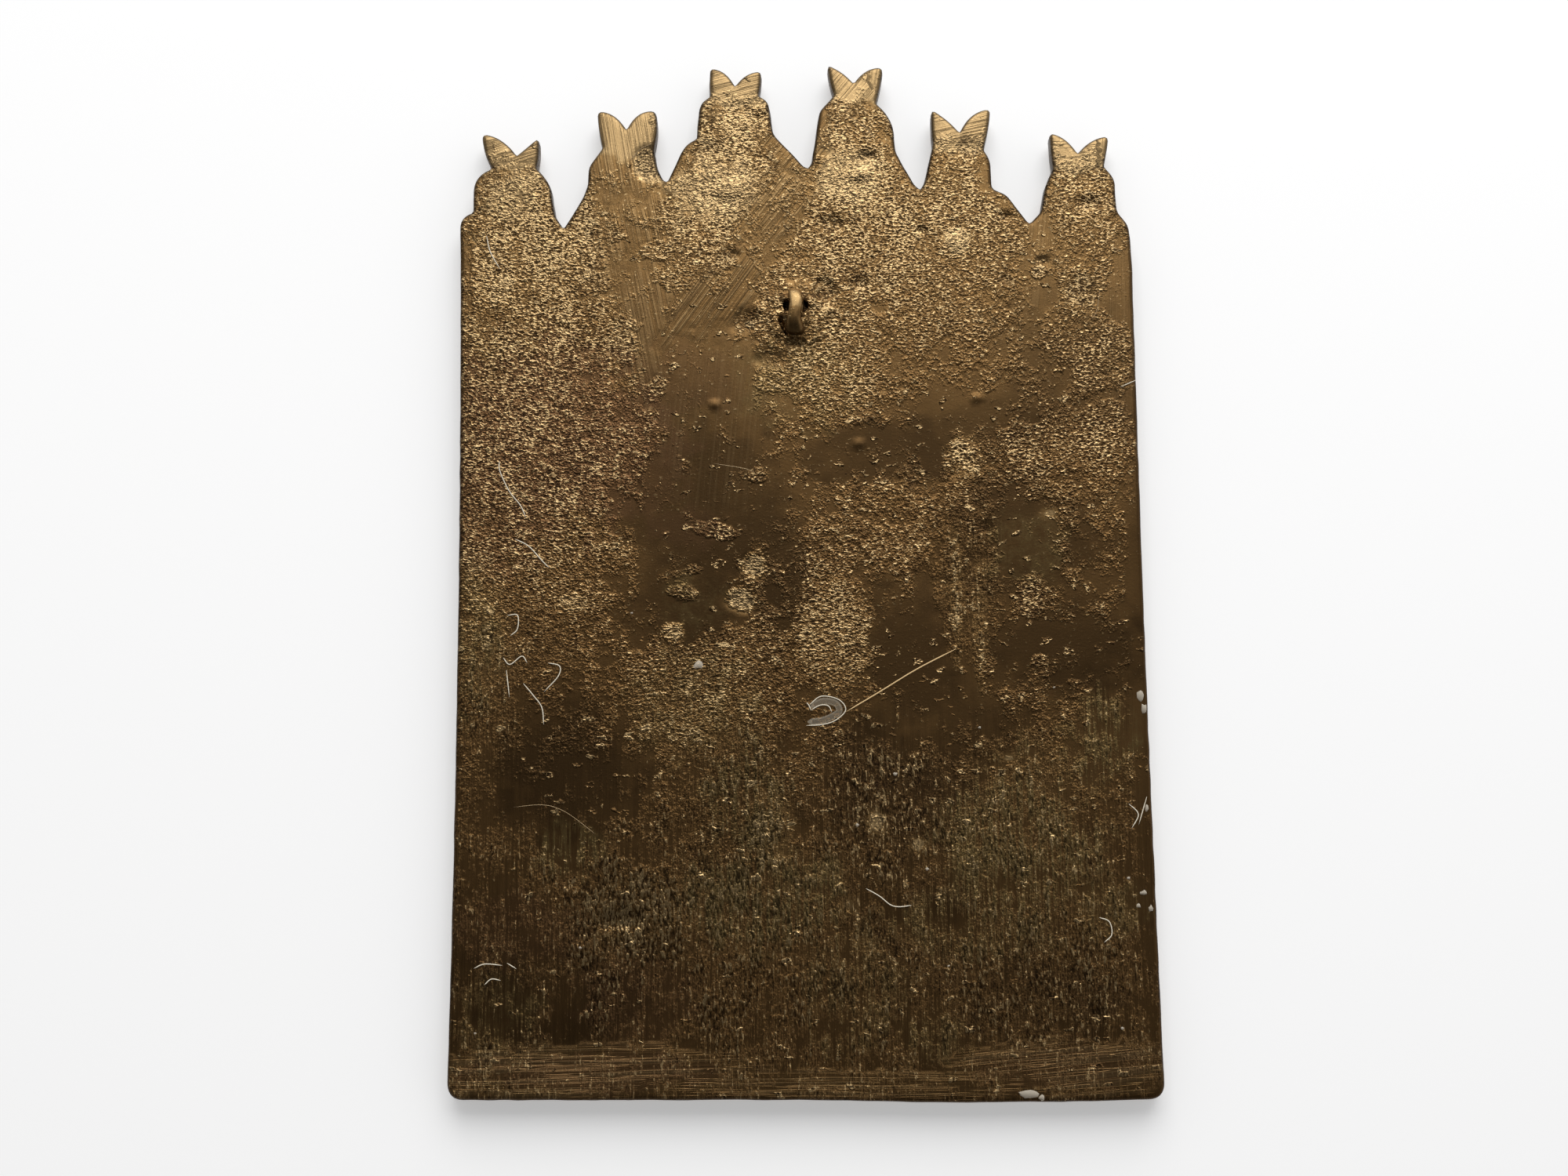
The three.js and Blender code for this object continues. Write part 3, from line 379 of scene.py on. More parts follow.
def back_marks(x, y):
    """The strength of each finish on the back, from 0 to 1. The cast skin fades slowly in and out
    by its spots, the dressed spots thin it, and the rough spots bring it back."""
    cast = 0.3 + 0.7 * patches(x, y, skin_spots, 0.4, 5, 1.1)
    cast = cast - 0.65 * patches(x, y, dressed_spots, 0.45, 3, 0.8)
    cast = np.clip(np.maximum(cast, patches(x, y, rough_spots, 0.4, 3, 0.8)), 0, 1)
    lower = np.clip((62 - y + 6 * cloud(x, y, 14, 11)) / 30, 0, 1)
    # The golden share rises towards the top: painted light, as the light falls from the finials' side.
    gold = 0.1 + 0.5 * np.clip((y - 95) / 40, 0, 1) + patches(x, y, gold_spots, 0.3, 3, 0.9)
    cuts = np.zeros_like(x)
    turn = np.full_like(x, 90.0)
    for *ellipse, direction, depth in cut_spots:
        here = patches(x, y, [(*ellipse, 1)], 0.25, 3, 0.7)
        turn = np.where(here > 0.35, direction, turn)
        cuts = cuts * np.clip(1 - here / 0.35, 0, 1) + depth * np.clip((here - 0.35) / 0.6, 0, 1)
    turn = np.radians(turn)
    cut = np.stack([x * np.cos(turn) + y * np.sin(turn), y * np.cos(turn) - x * np.sin(turn), 0 * x], 1)
    return {
        "cast": cast,
        "gold": np.clip(gold, 0, 1),
        "cuts": cuts,
        "cut": cut,
        "olive": patches(x, y, olive_spots, 0.5),
        "red": patches(x, y, red_spots, 0.5),
        "streaks": np.maximum(0.85 * lower, patches(x, y, streak_spots, 0.4, 3, 0.9)),
        "dark": patches(x, y, dark_spots, 0.5, 7, 0.9),
        "nicks": 0.2 + 0.8 * patches(x, y, nick_spots, 0.5, 9, 1.0),
    }


def back_height(x, y, depth, cast):
    """Height of the back. The plate's face, with slow hollows left by the mould, the cast skin's
    lumps, the pits and the beads, and the drop at the filed edge."""
    slow = 0.10 * cloud(x, y, 26, 21) + 0.03 * cloud(x, y, 9, 22)
    skin = cast * (0.035 * cloud(x, y, 2.3, 23) + 0.025 * cloud(x, y, 1.1, 24) - 0.03)
    return (BACK + slow + skin - patches(x, y, pit_spots, 0.35) + patches(x, y, lump_spots, 0.3)
            - patches(x, y, eye_spots, 0.2) - edge_fall(depth))


back_flat, back_faces = face_of_plate(outline, 0.635, [(-4, 109, 3.6, 118.6, 0.21)])
back_x, back_y = back_flat.T
back_depth = np.maximum(depth_inside(back_flat, outline), 0)
back_depth[:len(outline)] = 0
back_finish = back_marks(back_x, back_y)
back_z = back_height(back_x, back_y, back_depth, back_finish["cast"])

# The front. It lies face down: a flat rim, a rope moulding and a fillet round a sunk panel, where a
# standing saint of no name and two smaller ones stand under an arch, and a six-winged seraph on
# each finial. All of it was cast with the plate, and its high places were rubbed by handling.
RIM = 3.0
ROPE = 4.6
FILLET = 1.4
ROPE_GROUND = 0.9
PANEL_GROUND = 2.0
rope_pitch = 4.5
rope_rise = 0.6
column_x = 33.0
springing = 73.0
saint_foot = 17.0


def smooth_run(points, steps=6):
    """Points on a smooth curve through the given ones: the cubic of each span leaves and reaches
    its ends along the line between their neighbours."""
    points = np.array(points, float)
    padded = np.vstack([2 * points[0] - points[1], points, 2 * points[-1] - points[-2]])
    before, start, end, after = padded[:-3], padded[1:-2], padded[2:-1], padded[3:]
    t = np.linspace(0, 1, steps, endpoint=False)[None, :, None]
    before, start, end, after = (part[:, None, :] for part in (before, start, end, after))
    run = start + 0.5 * t * (end - before + t * (2 * before - 5 * start + 4 * end - after
                                                 + t * (3 * (start - end) + after - before)))
    return np.vstack([run.reshape(-1, 2), points[-1:]])


def strand_rise(x, y, path, half_width, height, ends=0.35, barbs=0.0):
    """Height of a raised strand. It is a half ellipse of the distance from a smooth run through
    the path, and it swells from its ends to its middle by a sine. Barbs are slanted grooves, so
    many to a millimetre, that make it a feather."""
    run = smooth_run(path)
    low, high = run.min(axis=0) - half_width, run.max(axis=0) + half_width
    near = np.flatnonzero((x > low[0]) & (x < high[0]) & (y > low[1]) & (y < high[1]))
    rise = np.zeros_like(x)
    if len(near) == 0:
        return rise
    side = np.diff(run, axis=0)
    length = np.linalg.norm(side, axis=1)
    walked = np.concatenate([[0], np.cumsum(length)])
    offset = np.stack([x[near], y[near]], axis=1)[:, None] - run[:-1]
    t = np.clip((offset * side).sum(axis=2) / length ** 2, 0, 1)
    apart = np.linalg.norm(offset - t[..., None] * side, axis=2)
    nearest = apart.argmin(axis=1)
    rows = np.arange(len(near))
    place = walked[nearest] + t[rows, nearest] * length[nearest]
    swell = ends + (1 - ends) * np.sin(np.pi * np.clip(place / walked[-1], 0, 1)).clip(0) ** 0.7
    across = apart[rows, nearest] / (half_width * np.maximum(swell, 1e-6))
    groove = 1 - 0.3 * (barbs > 0) * (0.5 + 0.5 * np.cos(2 * np.pi * (barbs * place + across)))
    rise[near] = height * swell * np.sqrt(np.clip(1 - across ** 2, 0, 1)) * groove
    return rise


def dome_rise(x, y, at, radius_x, radius_y, height):
    """Height of a low half ellipsoid."""
    reach = ((x - at[0]) / radius_x) ** 2 + ((y - at[1]) / radius_y) ** 2
    return height * np.sqrt(np.clip(1 - reach, 0, 1))


def hoop_rise(x, y, at, radius, half_width, height):
    """Height of a raised ring with a half-elliptical section."""
    across = (np.hypot(x - at[0], y - at[1]) - radius) / half_width
    return height * np.sqrt(np.clip(1 - across ** 2, 0, 1))


def block_rise(x, y, x0, x1, y0, y1, height, bevel=0.35):
    """Height of a block with bevelled edges."""
    inset = np.minimum(np.minimum(x - x0, x1 - x), np.minimum(y - y0, y1 - y))
    return height * np.clip(inset / bevel, 0, 1)


def saint_rise(x, y, with_face):
    """Height of a saint 78 tall on the origin, the highest of its parts at each point: a robe in
    cosine folds under a half-elliptical swell, a mantle and sleeves in strands, a closed book, a
    bearded head in a halo, and the feet."""
    folds = 5 if with_face else 3
    row_y = [0, 8, 24, 40, 51, 58, 62, 65]
    half = np.interp(y, row_y, [10.5, 10.8, 9.8, 8.8, 9.6, 10.2, 8.2, 4.2])
    full = np.interp(y, row_y, [0.8, 1.0, 1.05, 1.15, 1.2, 1.1, 0.9, 0.7])
    across = x / half
    crown = np.sqrt(np.clip(1 - across ** 2, 0, 1))
    drift = 0.06 * np.sin(y / 7.0) * np.clip((45 - y) / 30, 0, 1)
    wave = 0.5 + 0.5 * np.cos(np.pi * folds * (across + 1 + drift))
    robe = full * (0.25 + 0.75 * crown) * (1 - 0.45 * wave)
    robe = np.where((np.abs(across) < 1) & (y > 0) & (y < 65), robe, 0)
    hem = np.where((y > 1.4) & (y < 2.6), 0.12, 0) * (robe > 0)
    parts = [robe + hem, hoop_rise(x, y, (0, 73), 10.2, 0.8, 0.7)]
    halo = np.hypot(x, y - 73)
    rays = np.where((halo > 6.6) & (halo < 9.2), 0.12 * (0.5 + 0.5 * np.cos(24 * np.arctan2(x, y - 73))), 0)
    parts += [rays, dome_rise(x, y, (0, 73.8), 5.4, 6.2, 1.1)]
    beard = 0.9 + 0.1 * np.cos(4.2 * x)
    parts += [dome_rise(x, y, (0, 72.6), 4.3, 5.7, 1.45), dome_rise(x, y, (0, 67.6), 3.0, 3.4, 1.4) * beard]
    for side in (-1, 1):
        edge = [(side * 7, 62), (side * 12.4, 52), (side * 13.6, 34), (side * 12.6, 16), (side * 13.4, 1)]
        parts.append(strand_rise(x, y, edge, 3.0, 1.25, 0.5))
        parts.append(strand_rise(x, y, [(px - side * 1.3, py) for px, py in edge], 0.5, 1.45, 0.5))
        sleeve = [(side * 9.2, 58), (side * 9.8, 49), (side * 7.2, 44.5), (side * 3.4, 48)]
        parts.append(strand_rise(x, y, sleeve, 2.3, 1.6, 0.6, barbs=0.45))
        parts.append(dome_rise(x, y, (side * 3.0, 49), 1.8, 2.3, 1.7))
        parts.append(dome_rise(x, y, (side * 3.6, -1), 1.9, 2.6, 0.9))
        drape = [(side * 6.5, 43), (side * 3.5, 34), (-side * 1.0, 27)]
        parts.append(strand_rise(x, y, drape, 0.8, 1.35, 0.3))
    book = block_rise(x, y, -4.6, 4.6, 49.5, 59, 1.45)
    border = block_rise(x, y, -4.0, 4.0, 50.1, 58.4, 0.14) - block_rise(x, y, -3.3, 3.3, 50.8, 57.7, 0.14)
    parts += [book + border + dome_rise(x, y, (0, 54.2), 0.9, 1.2, 0.16)]
    if with_face:
        skin = 1.3
        nose = strand_rise(x, y, [(0, 75.2), (0, 73.4), (0, 71)], 0.6, 0.45)
        mouth = strand_rise(x, y, [(-1.3, 69.4), (0, 69.6), (1.3, 69.4)], 0.35, 0.3)
        parts += [np.where(part > 0, skin + part, 0) for part in (nose, mouth)]
        for side in (-1, 1):
            brow = [(side * 0.6, 75.2), (side * 1.9, 75.6), (side * 3.2, 74.8)]
            brow = strand_rise(x, y, brow, 0.35, 0.35)
            eye = dome_rise(x, y, (side * 1.8, 73.7), 0.9, 0.5, 0.3)
            parts += [np.where(part > 0, skin - 0.1 + part, 0) for part in (brow, eye)]
            for lock in (4.0, 4.7):
                hair = [(side * 0.4, 74.8 + lock), (side * (lock - 0.6), 77), (side * lock, 72), (side * (lock + 0.2), 69)]
                parts.append(strand_rise(x, y, hair, 0.42, 1.2, 0.7))
    return np.maximum.reduce(parts)


def seraph_rise(x, y, seraph):
    """Height of a six-winged seraph, worked out from its finial's corners: a round face in a halo,
    two wings that cross over it into the ears, two down its sides and two that cross below."""
    left_tip, notch, right_tip = (np.array(corner[:2]) for corner in seraph["ears"])
    left_neck, right_neck = np.array(seraph["left"][-1][:2]), np.array(seraph["right"][0][:2])
    flanks = np.array(seraph["left"][0][:2]), np.array(seraph["right"][-1][:2])
    neck = (left_neck + right_neck) / 2
    reach = min(np.linalg.norm(right_neck - left_neck) / 2, 4)
    face = neck + (0, -4.0)
    foot_y = FRAME_TOP + 1.6
    parts = [hoop_rise(x, y, face, 3.1, 0.45, 0.35), dome_rise(x, y, face, 2.0, 2.4, 0.6)]
    parts.append(dome_rise(x, y, face + (0, 0.1), 0.35, 0.9, 0.72))
    for side, tip, flank in ((-1, left_tip, flanks[0]), (1, right_tip, flanks[1])):
        parts.append(dome_rise(x, y, face + (0.8 * side, 0.5), 0.4, 0.28, 0.66))
        in_tip = tip + 0.3 * (notch - tip)
        in_tip = in_tip + 0.12 * (neck - in_tip)
        start = neck + (-side * 0.25 * reach, -0.6)
        middle = (start + in_tip) / 2 + (side * 0.35, 0)
        parts.append(strand_rise(x, y, [start, middle, in_tip], 1.5, 0.5, barbs=1.1))
        shoulder = face + (side * (reach + 0.3), 1.2)
        hem = np.array([face[0] + 0.72 * (flank[0] - face[0]), foot_y + 0.6])
        hip = shoulder + 0.6 * (hem - shoulder) + (side * 0.3, 0)
        parts.append(strand_rise(x, y, [shoulder, hip, hem], 1.5, 0.5, barbs=1.1))
        crossing = (face[0] + side * 0.3, (face[1] - 3.4 + foot_y) / 2)
        lower = [face + (side * 1.9, -3.2), crossing, (face[0] - side * 1.9, foot_y)]
        parts.append(strand_rise(x, y, lower, 1.2, 0.45, barbs=1.1))
    return np.maximum.reduce(parts)


def rope_height(x, y, inset):
    """Height of the rope moulding: a half ellipse across the groove, cut by slanted grooves that
    a cosine repeats along each side of the frame."""
    across = (inset - RIM - ROPE / 2) / (0.42 * ROPE)
    level = np.minimum(y, FRAME_TOP - y) < FRAME_HALF - np.abs(x)
    along = np.where(level, np.where(y < FRAME_TOP / 2, x, -x), np.where(x > 0, y, -y))
    turn = np.abs(np.cos(np.pi * (along / rope_pitch - 0.3 * across)))
    return rope_rise * np.sqrt(np.clip(1 - across ** 2, 0, 1)) * (0.25 + 0.75 * turn ** 0.6)


def front_relief(x, y):
    """Depth of the front's ground behind the rim, and the height of the relief that stands on it."""
    inset = frame_inset(x, y)

    def past(edge):
        return np.clip((inset - edge) / 0.2 + 0.5, 0, 1)

    ground = ROPE_GROUND * (past(RIM) - past(RIM + ROPE)) + PANEL_GROUND * past(RIM + ROPE + FILLET)
    ground = ground + FINIAL_FRONT * (1 - past(0)) * (y > FRAME_TOP / 2)
    rise = rope_height(x, y, inset)
    panel = inset > RIM + ROPE + FILLET + 0.1
    for side in (-1, 1):
        at = side * column_x
        shaft = [(at, 16.5), (at, 44), (at, 71)]
        rise = np.maximum(rise, strand_rise(x, y, shaft, 1.5, 1.2, 1.0, barbs=0.4))
        rise = np.maximum(rise, block_rise(x, y, at - 2.6, at + 2.6, 13.5, 17.5, 1.5))
        rise = np.maximum(rise, block_rise(x, y, at - 2.6, at + 2.6, 70, 73, 1.5))
        small = saint_rise((x + side * 22.5) / 0.52, (y - saint_foot) / 0.52, False)
        rise = np.maximum(rise, 0.75 * small)
    for radius, half_width, height in ((column_x, 1.4, 1.3), (column_x - 3, 0.6, 0.7)):
        arch = hoop_rise(x, y, (0, springing), radius, half_width, height) * (y > springing)
        rise = np.maximum(rise, arch)
    rise = np.maximum(rise, saint_rise(x, y - saint_foot, True))
    rise = np.where(panel | (inset < RIM + ROPE), rise, 0)
    for seraph in seraphs:
        rise = np.where(y > FRAME_TOP + 0.2, np.maximum(rise, seraph_rise(x, y, seraph)), rise)
    return ground, rise


front_flat, front_faces = face_of_plate(
    outline, 0.74,
    [(-14, 15, 14, 84, 0.55), (-6.5, 84, 6.5, 98, 0.34), (-31, 16, -14, 60, 0.55), (14, 16, 31, 60, 0.55)],
    [0, RIM, RIM + ROPE, RIM + ROPE + FILLET])
front_x, front_y = front_flat.T
front_depth = np.maximum(depth_inside(front_flat, outline), 0)
front_depth[:len(outline)] = 0
front_ground, front_rise = front_relief(front_x, front_y)
front_skin = 0.05 * cloud(front_x, front_y, 1.7, 31) * np.clip(front_ground / FINIAL_FRONT, 0, 1)
front_z = np.maximum(front_ground - front_rise + front_skin, 0)
front_z = front_z + 0.6 * edge_fall(front_depth)
front_cast = np.clip(front_ground, 0, 1) * np.clip(1 - 2 * front_rise, 0, 1)
front_cut = np.stack([front_y, front_x, 0 * front_x], axis=1)
front_finish = {
    "cast": 0.2 + 0.5 * front_cast,
    "gold": np.clip(0.15 + 0.8 * (1 - front_z / PANEL_GROUND), 0, 1),
    "cuts": 0.3 * (front_ground < 0.1),
    "cut": front_cut,
    "olive": patches(front_x, front_y, [(0, 60, 45, 60, 0, 0.4)], 0.6),
    "red": 0 * front_x,
    "streaks": 0 * front_x,
    "dark": 0 * front_x + 0.5,
    "nicks": 0 * front_x + 0.2,
    # Darker the deeper the ground lies below the relief.
    "grime_and_shade": np.clip(front_ground - front_rise, 0, 1) * 0.6,
}

# The lug. A short strap of bronze cast in an arch over a small eye that runs from left to right,
# for a cord or a wire to hang the icon by. Its lower foot spreads, and a file has flattened it.
lug_at = (-0.3, 113.8)
lug_half = 3.5
lug_top = 3.0
eye_half = 1.3
eye_rise = 0.75
eye_middle = 1.35
round_eye = np.linspace(0, 2 * np.pi, 60, endpoint=False)[:, None]
round_strap = np.linspace(0, 2 * np.pi, 26, endpoint=False)[None, :]


def superellipse(angle, power):
    """Cosine and sine of an angle with their sizes raised to a power, which squares the circle."""
    cosine, sine = np.cos(angle), np.sin(angle)
    return np.sign(cosine) * np.abs(cosine) ** power, np.sign(sine) * np.abs(sine) ** power


def lug_points():
    """The strap's skin as a closed ring. Going round the eye, the strap lies between the eye's
    ellipse and the arch's squarer outline, and its section there is a rounded rectangle that is
    widest at the feet and in the sunk part."""
    outer_y, outer_z = superellipse(round_eye, 0.8)
    outer_y = outer_y * lug_half
    rise = np.where(outer_z > 0, lug_top - eye_middle, eye_middle + 0.8)
    outer_z = eye_middle + outer_z * rise
    inner_y, inner_z = eye_half * np.cos(round_eye), eye_middle + eye_rise * np.sin(round_eye)
    section_x, section_out = superellipse(round_strap, 0.75)
    spread = np.abs(np.cos(round_eye)) ** 2
    half_width = 0.92 + 0.1 * spread + 0.4 * spread * (np.cos(round_eye) < 0)
    half_width = half_width + 0.3 * np.clip(-np.sin(round_eye), 0, 1)
    share = 0.5 + 0.5 * section_out
    y = inner_y + share * (outer_y - inner_y)
    z = inner_z + share * (outer_z - inner_z)
    x = section_x * half_width + 0.16 * np.sin(1.1 * y) - 0.06 * share
    dent = 0.05 * cloud(y + 3 * x, z + x, 0.9, 41) + 0.04 * cloud(y, x, 1.9, 42)
    z = z + dent * (z > 0.4)
    return np.stack([x + lug_at[0] + 0.06 * dent, y + lug_at[1], z + BACK], axis=-1)


def ring_faces(rows, columns):
    """Triangles of a grid whose rows and columns both close on themselves."""
    row, column = np.meshgrid(np.arange(rows), np.arange(columns), indexing="ij")
    a = row * columns + column
    b = (row + 1) % rows * columns + column
    c = (row + 1) % rows * columns + (column + 1) % columns
    d = row * columns + (column + 1) % columns
    return np.concatenate([np.stack([a, b, c], -1), np.stack([a, c, d], -1)]).reshape(-1, 3)


lug = lug_points()
lug_rows, lug_columns = lug.shape[:2]
lug = lug.reshape(-1, 3)
lug_faces = ring_faces(lug_rows, lug_columns)
# The strap is painted golden on its north half and near black on its low parts and southern foot: painted light
# and shade, as the light falls from the finials' side.
lug_upper = np.clip((lug[:, 1] - lug_at[1] + 0.4) / 0.8, 0, 1)
lug_high = np.clip((lug[:, 2] - BACK) / lug_top, 0, 1)
lug_finish = {
    "cast": np.full(len(lug), 0.1),
    "gold": 0.3 + 0.55 * lug_upper,
    "cuts": np.full(len(lug), 0.15),
    "cut": lug[:, [1, 0, 2]],
    "olive": np.full(len(lug), 0.2),
    "red": 0 * lug_high,
    "streaks": 0 * lug_high,
    "dark": 0 * lug_high,
    "nicks": 0 * lug_high,
    "grime_and_shade": np.clip(0.9 - 2.2 * lug_high, 0, 0.8) + 0.25 * (lug[:, 1] < lug_at[1] - 2.2),
}

# The casting as one piece. The wall between the two faces was filed along its length and is
# painted near black, as painted shade. The lug stands on the back, and its foot runs into the plate.
ring_count = len(outline)
wall_levels = np.array([0.25, 0.5, 0.75])
wall_top, wall_foot = back_z[:ring_count], front_z[:ring_count]
wall_z = wall_top + (wall_foot - wall_top) * wall_levels[:, None]
around = np.roll(outline, -1, axis=0) - np.roll(outline, 1, axis=0)
outward = np.stack([around[:, 1], -around[:, 0]], axis=1)
outward /= np.linalg.norm(outward, axis=1, keepdims=True)
swell = 0.05 + 0.05 * cloud(outline[:, 0] * 1.0, outline[:, 1] + 9 * wall_levels[:, None], 1.6, 43)
wall_flat = outline + outward * swell[..., None]
wall = np.concatenate([wall_flat, wall_z[..., None]], axis=2).reshape(-1, 3)
walked = np.tile(np.arange(ring_count) * outline_pace, len(wall_levels))
wall_finish = {
    "cast": np.full(len(wall), 0.35),
    "gold": np.full(len(wall), 0.2),
    "cuts": np.full(len(wall), 0.5),
    "cut": np.stack([walked, wall[:, 2], 0 * walked], axis=1),
    "olive": np.full(len(wall), 0.2),
    "red": 0 * walked,
    "streaks": 0 * walked,
    "dark": 0 * walked + 0.5,
    "nicks": 0 * walked + 0.2,
    "grime_and_shade": np.full(len(wall), 0.9),
}
# Painted shade on the back: near black along its edge, darker in the pits, and near black in the mouths of the
# lug's eye.
back_finish["grime_and_shade"] = np.clip(
    0.9 * np.clip(1 - back_depth / 0.55, 0, 1) + 0.3 * patches(back_x, back_y, [
        (*spot[:5], 1) for spot in pit_spots]) + 1.2 * patches(back_x, back_y, eye_spots, 0.2) + 0.25 * np.clip(1 - back_depth / 1.6, 0, 1), 0, 1)

casting_points = np.concatenate([
    np.column_stack([back_flat, back_z]),
    np.column_stack([front_flat, front_z]),
    wall,
    lug,
])
front_start = len(back_flat)
wall_start = front_start + len(front_flat)
lug_start = wall_start + len(wall)
wall_rings = np.arange(ring_count)
wall_rings = np.vstack([wall_rings, *(wall_start + ring_count * level + wall_rings for level in range(3)),
                        front_start + wall_rings])
upper, lower = wall_rings[:-1], wall_rings[1:]
upper_next, lower_next = np.roll(upper, -1, axis=1), np.roll(lower, -1, axis=1)
wall_faces = np.concatenate([
    np.stack([upper, lower, lower_next], axis=-1).reshape(-1, 3),
    np.stack([upper, lower_next, upper_next], axis=-1).reshape(-1, 3),
])
casting_faces = np.concatenate([
    back_faces,
    front_faces[:, ::-1] + front_start,
    wall_faces,
    lug_faces + lug_start,
])

# The frame's origin is under the middle of the outline, and its lengths are metres
plaque_low, plaque_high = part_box("icon_plaque")
sheet_middle = (outline.min(axis=0) + outline.max(axis=0)) / 2


def to_frame(points):
    """Millimetres from the middle of the lower edge, as metres in the row's frame."""
    middle_x = (plaque_low[0] + plaque_high[0]) / 2
    middle_y = (plaque_low[1] + plaque_high[1]) / 2
    return (points - (*sheet_middle, 0)) / 1000 + (middle_x, middle_y, plaque_low[2])


def shown(name, points, faces, finish=None):
    """A smooth-shaded mesh object at the origin, with its finish as point attributes."""
    mesh = bpy.data.meshes.new(name)
    mesh.from_pydata(to_frame(points), [], faces)
    mesh.update()
    mesh.shade_smooth()
    for mark, values in (finish or {}).items():
        values = np.asarray(values, np.float32)
        kind = "FLOAT_VECTOR" if values.ndim == 2 else "FLOAT"
        layer = mesh.attributes.new(mark, kind, "POINT")
        layer.data.foreach_set("vector" if values.ndim == 2 else "value", values.ravel())
    piece = bpy.data.objects.new(name, mesh)
    bpy.context.collection.objects.link(piece)
    return piece


marks = {mark: np.concatenate([back_finish[mark], front_finish[mark], wall_finish[mark], lug_finish[mark]])
         for mark in lug_finish}
casting = shown("casting", casting_points, casting_faces, marks)
casting.data.set_sharp_from_angle(angle=math.radians(50))
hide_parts("icon_plaque")
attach(casting, "root")

# The bronze. A yellow casting bronze under a brown patina: gold on the rubbed grain and on the
# file's ridges, in part painted highlight, brown where it lies smooth, and near black in the pits,
# in the grain's hollows and along the edges, where the near black is painted shade.
GOLD = (0.56, 0.385, 0.185, 1)
BROWN = (0.165, 0.090, 0.033, 1)
DEEP_BROWN = (0.082, 0.045, 0.018, 1)
OLIVE = (0.240, 0.168, 0.066, 1)
RED = (0.180, 0.090, 0.045, 1)
AMBER = (0.290, 0.172, 0.064, 1)
# Near black, for grime and for painted shade.
GRIME_AND_SHADE = (0.014, 0.008, 0.005, 1)


def add(tree, kind, sockets=None, **settings):
    """A shader node with its settings, and its sockets given a value or linked."""
    node = tree.nodes.new("ShaderNode" + kind)
    for name, value in settings.items():
        setattr(node, name, value)
    for name, value in (sockets or {}).items():
        if isinstance(value, bpy.types.NodeSocket):
            tree.links.new(value, node.inputs[name])
        else:
            node.inputs[name].default_value = value
    return node


def reckon(tree, operation, a, b=0.0, c=0.0, clamp=False):
    """The result of one arithmetic step on numbers or sockets."""
    return add(tree, "Math", {0: a, 1: b, 2: c}, operation=operation, use_clamp=clamp).outputs[0]


def ramp(tree, value, low, high, to_low=0.0, to_high=1.0):
    """A value eased from one level at low to another at high."""
    node = add(tree, "MapRange", {"Value": value, "From Min": low, "From Max": high,
                                  "To Min": to_low, "To Max": to_high}, interpolation_type="SMOOTHSTEP")
    return node.outputs["Result"]


def mixed(tree, share, a, b):
    """A colour between two, by a share."""
    node = add(tree, "Mix", {0: share, 6: a, 7: b}, data_type="RGBA")
    return node.outputs[2]


def noise(tree, place, scale, detail=2.0, roughness=0.5, distortion=0.0):
    """Fractal noise from 0 to 1, so many lumps to a millimetre."""
    node = add(tree, "TexNoise", {"Vector": place, "Scale": scale, "Detail": detail,
                                  "Roughness": roughness, "Distortion": distortion})
    return node.outputs[0]


